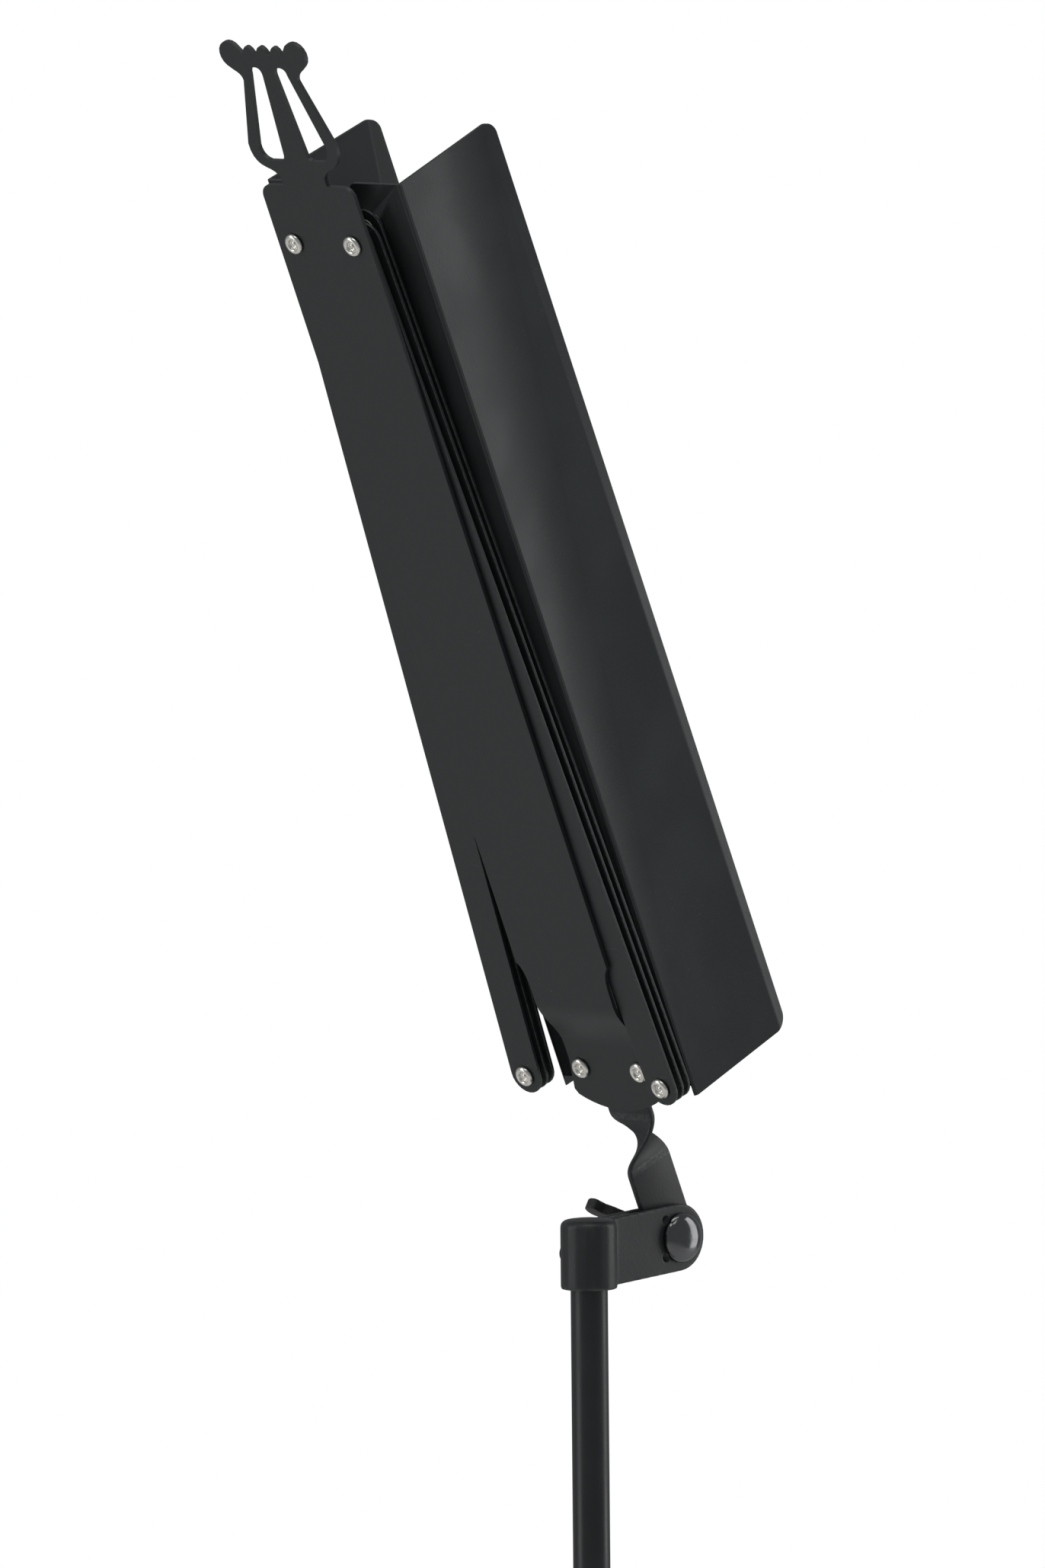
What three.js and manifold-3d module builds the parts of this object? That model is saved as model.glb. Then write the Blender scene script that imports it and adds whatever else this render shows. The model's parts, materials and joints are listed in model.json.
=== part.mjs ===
// A folding sheet-steel music stand: a lyre-topped desk of hinged slats and two L-shaped ledges on a
// tilting clamp, a three-stage telescopic pole and a folding tripod. Millimetres, +Z up, the desk
// faces -Y and +X is the player's right. The desk is modelled folded, the tripod open.
import * as THREE from "three";
import { mergeVertices } from "three/addons/utils/BufferGeometryUtils.js";
import Module from "manifold-3d";

const wasm = await Module();
wasm.setup();

// Clearances
const GAP = 0.28;
const HOLE_CLEARANCE = 0.3;

// Desk: u runs up the desk, n out of its front, x to the player's right
const DESK_TILT_DEG = 23.5;
const RIVET_HALF_SPACING = 11.0;
const COLUMN_RIVET_DISTANCE = 248.0;
const PLATE_SHEET = 1.2;
const PLATE_HALF_WIDTH = 17.2;
const PLATE_STEP_CLEARANCE = 0.42;
const PLATE_FOOT_HALF_WIDTH = 16.4;
const PLATE_FOOT_SIDE_DROP = 7.7;
const PLATE_FOOT_DROP = 12.5;
const PLATE_ABOVE_RIVETS = 17.0;
const PLATE_STEP_START = 7.0;
const PLATE_STEP_LENGTH = 15.0;
const LYRE_HEIGHT = 41.9;
const LYRE_HALF_WIDTH = 16.0;
const LYRE_BELLY_HALF_WIDTH = 16.4;
const LYRE_WAIST_HALF_WIDTH = 10.2;
const LYRE_NECK_HALF_WIDTH = 8.2;
const LYRE_BALL_RADIUS = 3.9;
const LYRE_BAR_WIDTH = 3.7;
const LYRE_STEM_HALF_WIDTH_TOP = 2.35;
const LYRE_STEM_HALF_WIDTH_BOTTOM = 4.2;
const LYRE_TOOTH_PITCH = 5.0;
const LYRE_TOOTH_HEIGHT = 2.3;

// Slats and ledges
const SLAT_SHEET = 0.9;
const SLAT_WIDTH = 10.5;
const ARM_OVERRUN = 2.5;
const ARM_SPREAD_DEG = { left: 2.4, right: 4.3 };
const PAGE_SLAT_OVERRUN = 2.0;
const PAGE_SPREAD_DEG = { left: 2.2, right: 3.9 };
const PAGE_GAP_BEHIND = 1.7;
const SIDE_GAP_BEHIND = 1.6;
const LEDGE_GAP_BEHIND = 2.0;
const LEDGE_SHEET = 1.0;
const LEDGE_BELOW_RIVET = 8.5;
const LEDGE_WEB_END_RADIUS = 5.6;
const LEDGE_BEND_X = 25.2;
const LEDGE_FLANGE_DEPTH = 40.8;
const LEDGE_FLANGE_LEAN_DEG = 4.0;
const LEDGE_CORNER_RADIUS = 4.5;
const LEDGE_END_RIVET_OVERRUN = 2.0;
const LEDGE_ABOVE_END_RIVET = 11.5;
const LEDGE_END_RIVET_OUT = 0.0;

// Tubular rivets
const RIVET_SHANK_RADIUS = 1.9;
const RIVET_HEAD_OVER_SHANK = 1.0;
const RIVET_HEAD_HEIGHT = 1.0;
const RIVET_FLARE_OVER_SHANK = 0.7;
const RIVET_FLARE_HEIGHT = 0.5;
const RIVET_SHOULDER_OVER_SHANK = 1.4;
const SPACER_OVER_SHANK = 1.7;
const SPACER_OVER_STRAP = 0.8;

// Twisted strap and tilt clamp
const STRAP_SHEET = 1.8;
const STRAP_WIDTH = 15.8;
const STRAP_TONGUE_CLEARANCE = 1.0;
const STRAP_TONGUE_TOP = 9.0;
const STRAP_SHOULDER_DROP = 6.0;
const STRAP_TWIST_START_DROP = 14.0;
const STRAP_TWIST_LENGTH = 16.2;
const PIVOT_DROP = 51.9;
const PIVOT_REACH = 31.7;
const CHEEK_SHEET = 2.0;
const CHEEK_HEIGHT = 18.3;
const CHEEK_RISE = 2.5;
const CAP_WALL = 2.42;
const CAP_WALL_TOP = 2.2;
const CAP_DOME = 1.6;
const BOLT_RADIUS = 2.5;
const BOLT_HEAD_RADIUS = 6.7;
const BOLT_HEAD_HEIGHT = 3.2;
const WASHER_RADIUS = 6.0;
const WASHER_SHEET = 1.2;
const WING_NUT_RADIUS = 6.0;
const WING_NUT_HEIGHT = 6.5;
const WING_SPAN = 38.0;
const WING_HEIGHT = 13.0;
const WING_SHEET = 3.0;
const WING_TURN_DEG = -60.0;

// Telescopic pole
const UPPER_TUBE_RADIUS = 5.0;
const UPPER_TUBE_WALL = 0.8;
const UPPER_TUBE_LENGTH = 330.0;
const UPPER_TUBE_SHOWN = 170.0;
const TUBE_CLEARANCE = 1.25;
const MIDDLE_TUBE_WALL = 1.0;
const MIDDLE_TUBE_LENGTH = 330.0;
const MIDDLE_TUBE_SHOWN = 150.0;
const LOWER_TUBE_WALL = 1.0;
const LOWER_TUBE_LENGTH = 400.0;
const LOCK_COLLAR_RADIUS_OVER_TUBE = 3.2;
const LOCK_COLLAR_HEIGHT = 24.0;
const LOCK_COLLAR_LIP = 3.0;
const LOCK_BOSS_WALL = 1.52;
const LOCK_BOSS_LENGTH = 6.0;
const SCREW_RADIUS = 2.4;
const KNOB_RADIUS = 8.5;
const KNOB_LENGTH = 11.0;
const KNOB_LOBES = 5;
const PLUG_LIP = 2.5;
const PLUG_DEPTH = 14.0;

// Tripod
const LEG_COUNT = 3;
const LEG_ANGLE_DEG = 60.0;
const LEG_LENGTH = 350.0;
const LEG_WIDTH = 12.0;
const LEG_SHEET = 2.5;
const BRACE_WIDTH = 10.0;
const BRACE_SHEET = 1.5;
const LEG_SLEEVE_CLEARANCE = 0.52;
const SLEEVE_WALL = 2.4;
const COLLAR_HEIGHT = 30.0;
const HUB_HEIGHT = 20.0;
const COLLAR_LUG_RADIUS = 5.5;
const HUB_LUG_RADIUS = 5.0;
const COLLAR_BOSS_BELOW_TOP = 2.5;
const LUG_SHEET = 1.8;
const PIN_RADIUS = 2.0;
const PIN_HEAD_RADIUS = 3.4;
const PIN_HEAD_HEIGHT = 1.1;
const FOOT_LENGTH = 34.0;
const FOOT_WIDTH = 18.0;
const FOOT_THICKNESS = 10.0;
const FOOT_PIVOT_HEIGHT = 8.0;
const HUB_PIVOT_HEIGHT = 33.0;

const ROUND_STEPS = 20;
const SMALL_STEPS = 6;
const RIVET_STEPS = 12;
const HOLE_STEPS = 14;
const rad = THREE.MathUtils.degToRad;

const paint = new THREE.MeshStandardMaterial({ color: 0x2b2e31, roughness: 0.5, metalness: 0.0 });
const nickel = new THREE.MeshStandardMaterial({ color: 0xb9b7b2, roughness: 0.25, metalness: 1.0 });
const chrome = new THREE.MeshStandardMaterial({ color: 0xd8dadc, roughness: 0.1, metalness: 1.0 });
const plastic = new THREE.MeshStandardMaterial({ color: 0x17181a, roughness: 0.55, metalness: 0.0 });
const rubber = new THREE.MeshStandardMaterial({ color: 0x141414, roughness: 0.85, metalness: 0.0 });

// Values that follow from the sizes above
const rivetHeadRadius = RIVET_SHANK_RADIUS + RIVET_HEAD_OVER_SHANK;
const rivetFlareRadius = RIVET_SHANK_RADIUS + RIVET_FLARE_OVER_SHANK;
const rivetShoulderRadius = RIVET_SHANK_RADIUS + RIVET_SHOULDER_OVER_SHANK;
const spacerRadius = RIVET_SHANK_RADIUS + SPACER_OVER_SHANK;
const spacerLength = STRAP_SHEET + SPACER_OVER_STRAP;
const armLength = COLUMN_RIVET_DISTANCE + ARM_OVERRUN;
const pageSlatLength = COLUMN_RIVET_DISTANCE + PAGE_SLAT_OVERRUN;
const ledgeEndRivetUp = COLUMN_RIVET_DISTANCE + LEDGE_END_RIVET_OVERRUN;
const ledgeLength = LEDGE_BELOW_RIVET + ledgeEndRivetUp + LEDGE_ABOVE_END_RIVET;
const plateStepTop = PLATE_STEP_START + PLATE_STEP_LENGTH;
const leastSpread = rad(Math.min(...Object.values(ARM_SPREAD_DEG)));
const armInset = (COLUMN_RIVET_DISTANCE - plateStepTop) * Math.tan(leastSpread);
const plateStepHalfWidth = RIVET_HALF_SPACING + armInset - SLAT_WIDTH / 2 - PLATE_STEP_CLEARANCE;
const plateBack = 0;
const plateFront = plateBack + PLATE_SHEET;
const armBack = plateFront + GAP;
const armFront = armBack + SLAT_SHEET;
const pageBack = armFront + PAGE_GAP_BEHIND;
const pageFront = pageBack + SLAT_SHEET;
const sideBack = pageFront + SIDE_GAP_BEHIND;
const sideFront = sideBack + SLAT_SHEET;
const webBack = sideFront + LEDGE_GAP_BEHIND;
const webFront = webBack + LEDGE_SHEET;
const footFront = webBack - spacerLength - 2 * GAP;
const footBack = footFront - PLATE_SHEET;
const strapBack = footFront + GAP;
const strapMid = strapBack + STRAP_SHEET / 2;
const rivetHole = RIVET_SHANK_RADIUS + HOLE_CLEARANCE;
const cheekInner = STRAP_SHEET / 2 + HOLE_CLEARANCE;
const cheekOuter = cheekInner + CHEEK_SHEET;
const middleTubeRadius = UPPER_TUBE_RADIUS + TUBE_CLEARANCE + MIDDLE_TUBE_WALL;
const lowerTubeRadius = middleTubeRadius + TUBE_CLEARANCE + LOWER_TUBE_WALL;
const capRadius = UPPER_TUBE_RADIUS + GAP + CAP_WALL;
const bossRadius = SCREW_RADIUS + GAP + LOCK_BOSS_WALL;
const sleeveOuter = lowerTubeRadius + GAP + SLEEVE_WALL;
const pivotCircle = sleeveOuter + LEG_WIDTH / 2 + LEG_SLEEVE_CLEARANCE;
const legHalf = LEG_SHEET / 2;
const braceInner = legHalf + GAP + 0.1;
const braceOuter = braceInner + BRACE_SHEET;
const collarPivotZ = FOOT_PIVOT_HEIGHT + LEG_LENGTH * Math.cos(rad(LEG_ANGLE_DEG));
const braceLength = (collarPivotZ - HUB_PIVOT_HEIGHT) / (2 * Math.cos(rad(LEG_ANGLE_DEG)));
const lowerTubeBottom = HUB_PIVOT_HEIGHT - HUB_HEIGHT / 2;
const lowerTubeTop = lowerTubeBottom + LOWER_TUBE_LENGTH;
const middleTubeTop = lowerTubeTop + LOCK_COLLAR_LIP + MIDDLE_TUBE_SHOWN;
const upperTubeTop = middleTubeTop + LOCK_COLLAR_LIP + UPPER_TUBE_SHOWN;
const pivotZ = upperTubeTop + CAP_WALL_TOP + CAP_DOME / 2 - CHEEK_HEIGHT / 2 + CHEEK_RISE;

// ---- helpers ----

function toManifold(geometry) {
  const plain = geometry.index ? geometry.toNonIndexed() : geometry.clone();
  plain.deleteAttribute("normal");
  plain.deleteAttribute("uv");
  const merged = mergeVertices(plain, 1e-4);
  return new wasm.Manifold(new wasm.Mesh({
    numProp: 3,
    vertProperties: new Float32Array(merged.attributes.position.array),
    triVerts: new Uint32Array(merged.index.array),
  }));
}

function fromManifold(solid) {
  const mesh = solid.getMesh();
  const geometry = new THREE.BufferGeometry();
  geometry.setAttribute("position", new THREE.BufferAttribute(new Float32Array(mesh.vertProperties), 3));
  geometry.setIndex(new THREE.BufferAttribute(new Uint32Array(mesh.triVerts), 1));
  return geometry;
}

function join(...geometries) {
  return fromManifold(geometries.map(toManifold).reduce((a, b) => a.add(b)));
}

function cut(geometry, ...tools) {
  return fromManifold(tools.map(toManifold).reduce((a, b) => a.subtract(b), toManifold(geometry)));
}

function overlap(a, b) {
  return fromManifold(toManifold(a).intersect(toManifold(b)));
}

function extrude(shape, depth, steps = SMALL_STEPS) {
  return new THREE.ExtrudeGeometry(shape, { depth, bevelEnabled: false, curveSegments: steps });
}

// A sheet whose outline is drawn in (x, u) and whose thickness runs along n from nBack
function sheet(shape, nBack, thickness, steps) {
  const geometry = extrude(shape, thickness, steps);
  geometry.rotateX(Math.PI / 2);
  geometry.translate(0, -nBack, 0);
  return geometry;
}

function circleHole(shape, x, y, radius) {
  const hole = new THREE.Path();
  hole.absarc(x, y, radius, 0, 2 * Math.PI, true);
  shape.holes.push(hole);
}

// A strip with round ends that reach past both end points
function stripShape(length, width) {
  const r = width / 2;
  const shape = new THREE.Shape();
  shape.absarc(0, 0, r, Math.PI, 2 * Math.PI, false);
  shape.absarc(0, length, r, 0, Math.PI, false);
  shape.closePath();
  return shape;
}

function lathe(points, steps = ROUND_STEPS) {
  return new THREE.LatheGeometry(points.map(([r, z]) => new THREE.Vector2(r, z)), steps).rotateX(Math.PI / 2);
}

function tube(outer, inner, z0, z1, steps = ROUND_STEPS) {
  return lathe([[inner, z0], [outer, z0], [outer, z1], [inner, z1], [inner, z0]], steps);
}

function rod(radius, z0, z1, steps = ROUND_STEPS) {
  return lathe([[0, z0], [radius, z0], [radius, z1], [0, z1]], steps);
}

function box(x0, x1, y0, y1, z0, z1) {
  const geometry = new THREE.BoxGeometry(x1 - x0, y1 - y0, z1 - z0);
  geometry.translate((x0 + x1) / 2, (y0 + y1) / 2, (z0 + z1) / 2);
  return geometry;
}

function add(parent, name, geometry, material) {
  const mesh = new THREE.Mesh(geometry, material);
  mesh.name = name;
  parent.add(mesh);
  return mesh;
}

// A turned group at a pivot: place is a Vector3, turn an angle about the group's own Y axis
function pivotGroup(parent, name, place, turn = 0) {
  const group = new THREE.Group();
  group.name = name;
  group.position.copy(place);
  group.rotation.y = turn;
  parent.add(group);
  return group;
}

// ---- desk pieces, drawn in (x, u, n) ----

// A tubular rivet along n: head behind backFace, flared ring in front of frontFace
function rivetHead(backFace) {
  const headTop = backFace - GAP - RIVET_HEAD_HEIGHT;
  return [
    [0, headTop + 0.7],
    [RIVET_SHANK_RADIUS * 0.6, headTop + 0.6],
    [RIVET_SHANK_RADIUS, headTop],
    [rivetHeadRadius - 0.4, headTop],
    [rivetHeadRadius, headTop + 0.5],
    [rivetHeadRadius, backFace - GAP],
    [RIVET_SHANK_RADIUS, backFace - GAP],
  ];
}

function rivet(backFace, frontFace) {
  const flareTop = frontFace + GAP + RIVET_FLARE_HEIGHT;
  const bore = RIVET_SHANK_RADIUS * 0.6;
  const geometry = lathe([
    ...rivetHead(backFace),
    [RIVET_SHANK_RADIUS, frontFace + GAP],
    [rivetFlareRadius, frontFace + GAP],
    [rivetFlareRadius - 0.3, flareTop],
    [bore, flareTop],
    [0, flareTop - 0.3],
  ], RIVET_STEPS);
  return geometry.rotateX(Math.PI / 2);
}

// The rivet at an arm's outer end, with shoulders that hold the three slats apart
function shoulderRivet() {
  const shoulders = [];
  for (const [from, to] of [[armFront, pageBack], [pageFront, sideBack]]) {
    shoulders.push([RIVET_SHANK_RADIUS, from + GAP]);
    shoulders.push([rivetShoulderRadius, from + GAP]);
    shoulders.push([rivetShoulderRadius, to - GAP]);
    shoulders.push([RIVET_SHANK_RADIUS, to - GAP]);
  }
  return lathe([
    ...rivetHead(armBack),
    ...shoulders,
    [RIVET_SHANK_RADIUS, sideFront + GAP],
    [rivetFlareRadius, sideFront + GAP],
    [rivetFlareRadius - 0.3, sideFront + GAP + RIVET_FLARE_HEIGHT],
    [0, sideFront + GAP + RIVET_FLARE_HEIGHT],
  ], RIVET_STEPS).rotateX(Math.PI / 2);
}

function lyreShape() {
  const base = COLUMN_RIVET_DISTANCE + PLATE_ABOVE_RIVETS;
  const top = base + LYRE_HEIGHT;
  const ballU = top - LYRE_BALL_RADIUS;
  const ballX = LYRE_HALF_WIDTH - LYRE_BALL_RADIUS;
  const waistX = LYRE_WAIST_HALF_WIDTH;
  const bellyX = LYRE_BELLY_HALF_WIDTH;
  const dip = top - 3.6;
  const crest = dip + 2 * LYRE_TOOTH_HEIGHT;
  const dipX = LYRE_TOOTH_PITCH / 2;
  const half = new THREE.Path();
  half.moveTo(LYRE_NECK_HALF_WIDTH, base - 6);
  half.lineTo(LYRE_NECK_HALF_WIDTH, base + 1.8);
  half.quadraticCurveTo(LYRE_NECK_HALF_WIDTH + 0.2, base + 3.8, bellyX - 4.1, base + 5.2);
  half.quadraticCurveTo(bellyX + 0.3, base + 6.8, bellyX, base + 12);
  half.lineTo(waistX, ballU - 7.4);
  half.quadraticCurveTo(waistX, ballU - 5.6, ballX + 0.4, ballU - LYRE_BALL_RADIUS - 0.6);
  half.absarc(ballX, ballU, LYRE_BALL_RADIUS, -0.9, Math.PI * 0.83, false);
  half.lineTo(3 * dipX - 0.2, dip);
  half.quadraticCurveTo(2 * dipX + 0.2, crest, dipX + 0.4, dip);
  half.lineTo(dipX - 0.2, dip);
  half.quadraticCurveTo(1.2, dip + LYRE_TOOTH_HEIGHT, 0, dip + LYRE_TOOTH_HEIGHT);
  const points = half.getPoints(5);
  const mirrored = points.slice(0, -1).reverse().map((point) => new THREE.Vector2(-point.x, point.y));
  const shape = new THREE.Shape([...points, ...mirrored]);
  for (const side of [-1, 1]) {
    const inner = bellyX - LYRE_BAR_WIDTH;
    const innerTop = waistX - LYRE_BAR_WIDTH + 0.5;
    const stemTop = LYRE_STEM_HALF_WIDTH_TOP;
    const stemBottom = LYRE_STEM_HALF_WIDTH_BOTTOM;
    const bottom = base + 7.3;
    const openTop = ballU - 3.5;
    const hole = new THREE.Path();
    const middleTop = (innerTop + stemTop) / 2;
    hole.moveTo(side * middleTop, openTop);
    hole.quadraticCurveTo(side * innerTop, openTop - 0.2, side * innerTop, openTop - 2.2);
    hole.lineTo(side * inner, bottom + 4.2);
    hole.quadraticCurveTo(side * (inner + 0.3), bottom + 0.9, side * (inner - 2.8), bottom);
    hole.lineTo(side * (stemBottom + 2.2), bottom);
    hole.quadraticCurveTo(side * stemBottom, bottom, side * stemBottom, bottom + 2.2);
    hole.lineTo(side * stemTop, openTop - 2.4);
    hole.quadraticCurveTo(side * stemTop, openTop, side * middleTop, openTop);
    shape.holes.push(hole);
  }
  return shape;
}

function plateOutline() {
  const top = COLUMN_RIVET_DISTANCE + PLATE_ABOVE_RIVETS;
  const r = 3.5;
  const shape = new THREE.Shape();
  shape.moveTo(0, -PLATE_FOOT_DROP);
  shape.quadraticCurveTo(9, -PLATE_FOOT_DROP + 0.4, PLATE_FOOT_HALF_WIDTH - 1, -PLATE_FOOT_SIDE_DROP - 0.6);
  shape.lineTo(PLATE_FOOT_HALF_WIDTH, -PLATE_FOOT_SIDE_DROP + 1);
  shape.lineTo(plateStepHalfWidth, 2);
  shape.lineTo(plateStepHalfWidth, plateStepTop + 4);
  shape.quadraticCurveTo(plateStepHalfWidth, plateStepTop + 10, PLATE_HALF_WIDTH, plateStepTop + 12);
  shape.lineTo(PLATE_HALF_WIDTH, top - r);
  shape.absarc(PLATE_HALF_WIDTH - r, top - r, r, 0, Math.PI / 2, false);
  shape.lineTo(-PLATE_HALF_WIDTH + r, top);
  shape.absarc(-PLATE_HALF_WIDTH + r, top - r, r, Math.PI / 2, Math.PI, false);
  shape.lineTo(-PLATE_HALF_WIDTH, plateStepTop + 12);
  shape.quadraticCurveTo(-plateStepHalfWidth, plateStepTop + 10, -plateStepHalfWidth, plateStepTop + 4);
  shape.lineTo(-plateStepHalfWidth, 2);
  shape.lineTo(-PLATE_FOOT_HALF_WIDTH, -PLATE_FOOT_SIDE_DROP + 1);
  shape.lineTo(-PLATE_FOOT_HALF_WIDTH + 1, -PLATE_FOOT_SIDE_DROP - 0.6);
  shape.quadraticCurveTo(-9, -PLATE_FOOT_DROP + 0.4, 0, -PLATE_FOOT_DROP);
  for (const x of [-RIVET_HALF_SPACING, RIVET_HALF_SPACING]) {
    circleHole(shape, x, 0, rivetHole);
    circleHole(shape, x, COLUMN_RIVET_DISTANCE, rivetHole);
  }
  return shape;
}

// The plate's side profile in (u, n): flat column, smooth step to the front, flat foot
function plateProfile() {
  const top = COLUMN_RIVET_DISTANCE + PLATE_ABOVE_RIVETS + LYRE_HEIGHT + 5;
  const bottom = -PLATE_FOOT_DROP - 5;
  const steps = 8;
  const back = [[top, plateBack]];
  const front = [[top, plateFront]];
  for (let i = 0; i <= steps; i += 1) {
    const t = i / steps;
    const ease = t * t * (3 - 2 * t);
    const slope = 6 * t * (1 - t) * footBack / PLATE_STEP_LENGTH;
    const u = PLATE_STEP_START + PLATE_STEP_LENGTH * (1 - t);
    const n = plateBack + (footBack - plateBack) * ease;
    const stretch = Math.hypot(1, slope);
    back.push([u, n]);
    front.push([u + PLATE_SHEET * slope / stretch, n + PLATE_SHEET / stretch]);
  }
  back.push([bottom, footBack]);
  front.push([bottom, footFront]);
  return back.concat(front.reverse());
}

function centrePlate() {
  const profile = new THREE.Shape(plateProfile().map(([u, n]) => new THREE.Vector2(u, n)));
  const wide = 2 * PLATE_HALF_WIDTH + 10;
  const band = extrude(profile, wide);
  const toDesk = new THREE.Matrix4().makeBasis(
    new THREE.Vector3(0, 0, 1),
    new THREE.Vector3(0, -1, 0),
    new THREE.Vector3(1, 0, 0),
  );
  band.applyMatrix4(toDesk);
  band.translate(-wide / 2, 0, 0);
  const depth = footFront + 10;
  const outline = join(sheet(plateOutline(), -5, depth), sheet(lyreShape(), -5, depth, 6));
  return overlap(outline, band);
}

function slat(length, nBack, holes) {
  const shape = stripShape(length, SLAT_WIDTH);
  for (const u of holes) {
    circleHole(shape, 0, u, rivetHole);
  }
  return sheet(shape, nBack, SLAT_SHEET);
}

// A ledge, drawn about its own lower rivet: web behind, leaning flange in front, side is +1 or -1
function ledge(side) {
  const bend = LEDGE_BEND_X - RIVET_HALF_SPACING;
  const bottom = -LEDGE_BELOW_RIVET;
  const top = bottom + ledgeLength;
  const r = LEDGE_WEB_END_RADIUS;
  const web = new THREE.Shape();
  web.moveTo(0, -r);
  web.lineTo(bend, -r);
  web.lineTo(bend, top);
  web.lineTo(-r + 3, top);
  web.absarc(-r + 3, top - 3, 3, Math.PI / 2, Math.PI, false);
  web.lineTo(-r, 0);
  web.absarc(0, 0, r, Math.PI, 1.5 * Math.PI, false);
  circleHole(web, 0, 0, rivetHole);
  circleHole(web, LEDGE_END_RIVET_OUT, ledgeEndRivetUp, rivetHole);
  const webSheet = sheet(web, webBack, LEDGE_SHEET);
  const c = LEDGE_CORNER_RADIUS;
  const flange = new THREE.Shape();
  flange.moveTo(0, bottom);
  flange.lineTo(LEDGE_FLANGE_DEPTH - c, bottom);
  flange.absarc(LEDGE_FLANGE_DEPTH - c, bottom + c, c, -Math.PI / 2, 0, false);
  flange.absarc(LEDGE_FLANGE_DEPTH - c, top - c, c, 0, Math.PI / 2, false);
  flange.lineTo(0, top);
  flange.closePath();
  const lean = rad(LEDGE_FLANGE_LEAN_DEG);
  const flangeSheet = extrude(flange, LEDGE_SHEET);
  flangeSheet.applyMatrix4(new THREE.Matrix4().makeBasis(
    new THREE.Vector3(-Math.sin(lean), -Math.cos(lean), 0),
    new THREE.Vector3(0, 0, 1),
    new THREE.Vector3(-Math.cos(lean), Math.sin(lean), 0),
  ));
  flangeSheet.translate(bend, -webBack, 0);
  const whole = join(webSheet, flangeSheet);
  if (side > 0) {
    return whole;
  }
  return mirrorX(whole);
}

function mirrorX(geometry) {
  const mirrored = geometry.clone();
  mirrored.applyMatrix4(new THREE.Matrix4().makeScale(-1, 1, 1));
  const index = mirrored.index.array;
  for (let i = 0; i < index.length; i += 3) {
    [index[i], index[i + 1]] = [index[i + 1], index[i]];
  }
  return mirrored;
}

// The strap: a tongue on the plate's foot, then a quarter twist down to the tilt bolt
function strap() {
  const half = STRAP_WIDTH / 2;
  const flatBottom = -STRAP_TWIST_START_DROP;
  const flat = new THREE.Shape();
  const t = RIVET_HALF_SPACING - spacerRadius - STRAP_TONGUE_CLEARANCE;
  flat.moveTo(-half, flatBottom - 0.5);
  flat.lineTo(half, flatBottom - 0.5);
  flat.lineTo(half, -STRAP_SHOULDER_DROP);
  flat.lineTo(t, -STRAP_SHOULDER_DROP + 1.5);
  flat.absarc(t - 2, STRAP_TONGUE_TOP - 2, 2, 0, Math.PI / 2, false);
  flat.absarc(-t + 2, STRAP_TONGUE_TOP - 2, 2, Math.PI / 2, Math.PI, false);
  flat.lineTo(-t, -STRAP_SHOULDER_DROP + 1.5);
  flat.lineTo(-half, -STRAP_SHOULDER_DROP);
  flat.closePath();
  const upper = sheet(flat, -STRAP_SHEET / 2, STRAP_SHEET);
  const steps = 10;
  const twist = new THREE.BoxGeometry(STRAP_WIDTH, STRAP_SHEET, STRAP_TWIST_LENGTH, 2, 1, steps);
  twist.translate(0, 0, flatBottom - STRAP_TWIST_LENGTH / 2);
  const p = twist.attributes.position;
  for (let i = 0; i < p.count; i += 1) {
    const s = (flatBottom - p.getZ(i)) / STRAP_TWIST_LENGTH;
    const angle = -Math.PI / 2 * s * s * (3 - 2 * s);
    const x = p.getX(i);
    const y = p.getY(i);
    p.setXY(i, x * Math.cos(angle) - y * Math.sin(angle), x * Math.sin(angle) + y * Math.cos(angle));
  }
  const eye = new THREE.Shape();
  const eyeTop = PIVOT_DROP - STRAP_TWIST_START_DROP - STRAP_TWIST_LENGTH + 0.5;
  eye.moveTo(half, eyeTop);
  eye.lineTo(-half, eyeTop);
  eye.absarc(0, 0, half, Math.PI, 2 * Math.PI, false);
  eye.closePath();
  circleHole(eye, 0, 0, BOLT_RADIUS + HOLE_CLEARANCE);
  const lower = extrude(eye, STRAP_SHEET);
  lower.applyMatrix4(new THREE.Matrix4().makeBasis(
    new THREE.Vector3(0, 1, 0),
    new THREE.Vector3(0, 0, 1),
    new THREE.Vector3(1, 0, 0),
  ));
  lower.translate(-STRAP_SHEET / 2, 0, -PIVOT_DROP);
  const whole = join(upper, twist, lower);
  whole.translate(0, -strapMid, 0);
  return whole;
}

// ---- clamp head, drawn about the tilt pivot; the pole axis is PIVOT_REACH behind it ----

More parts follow.
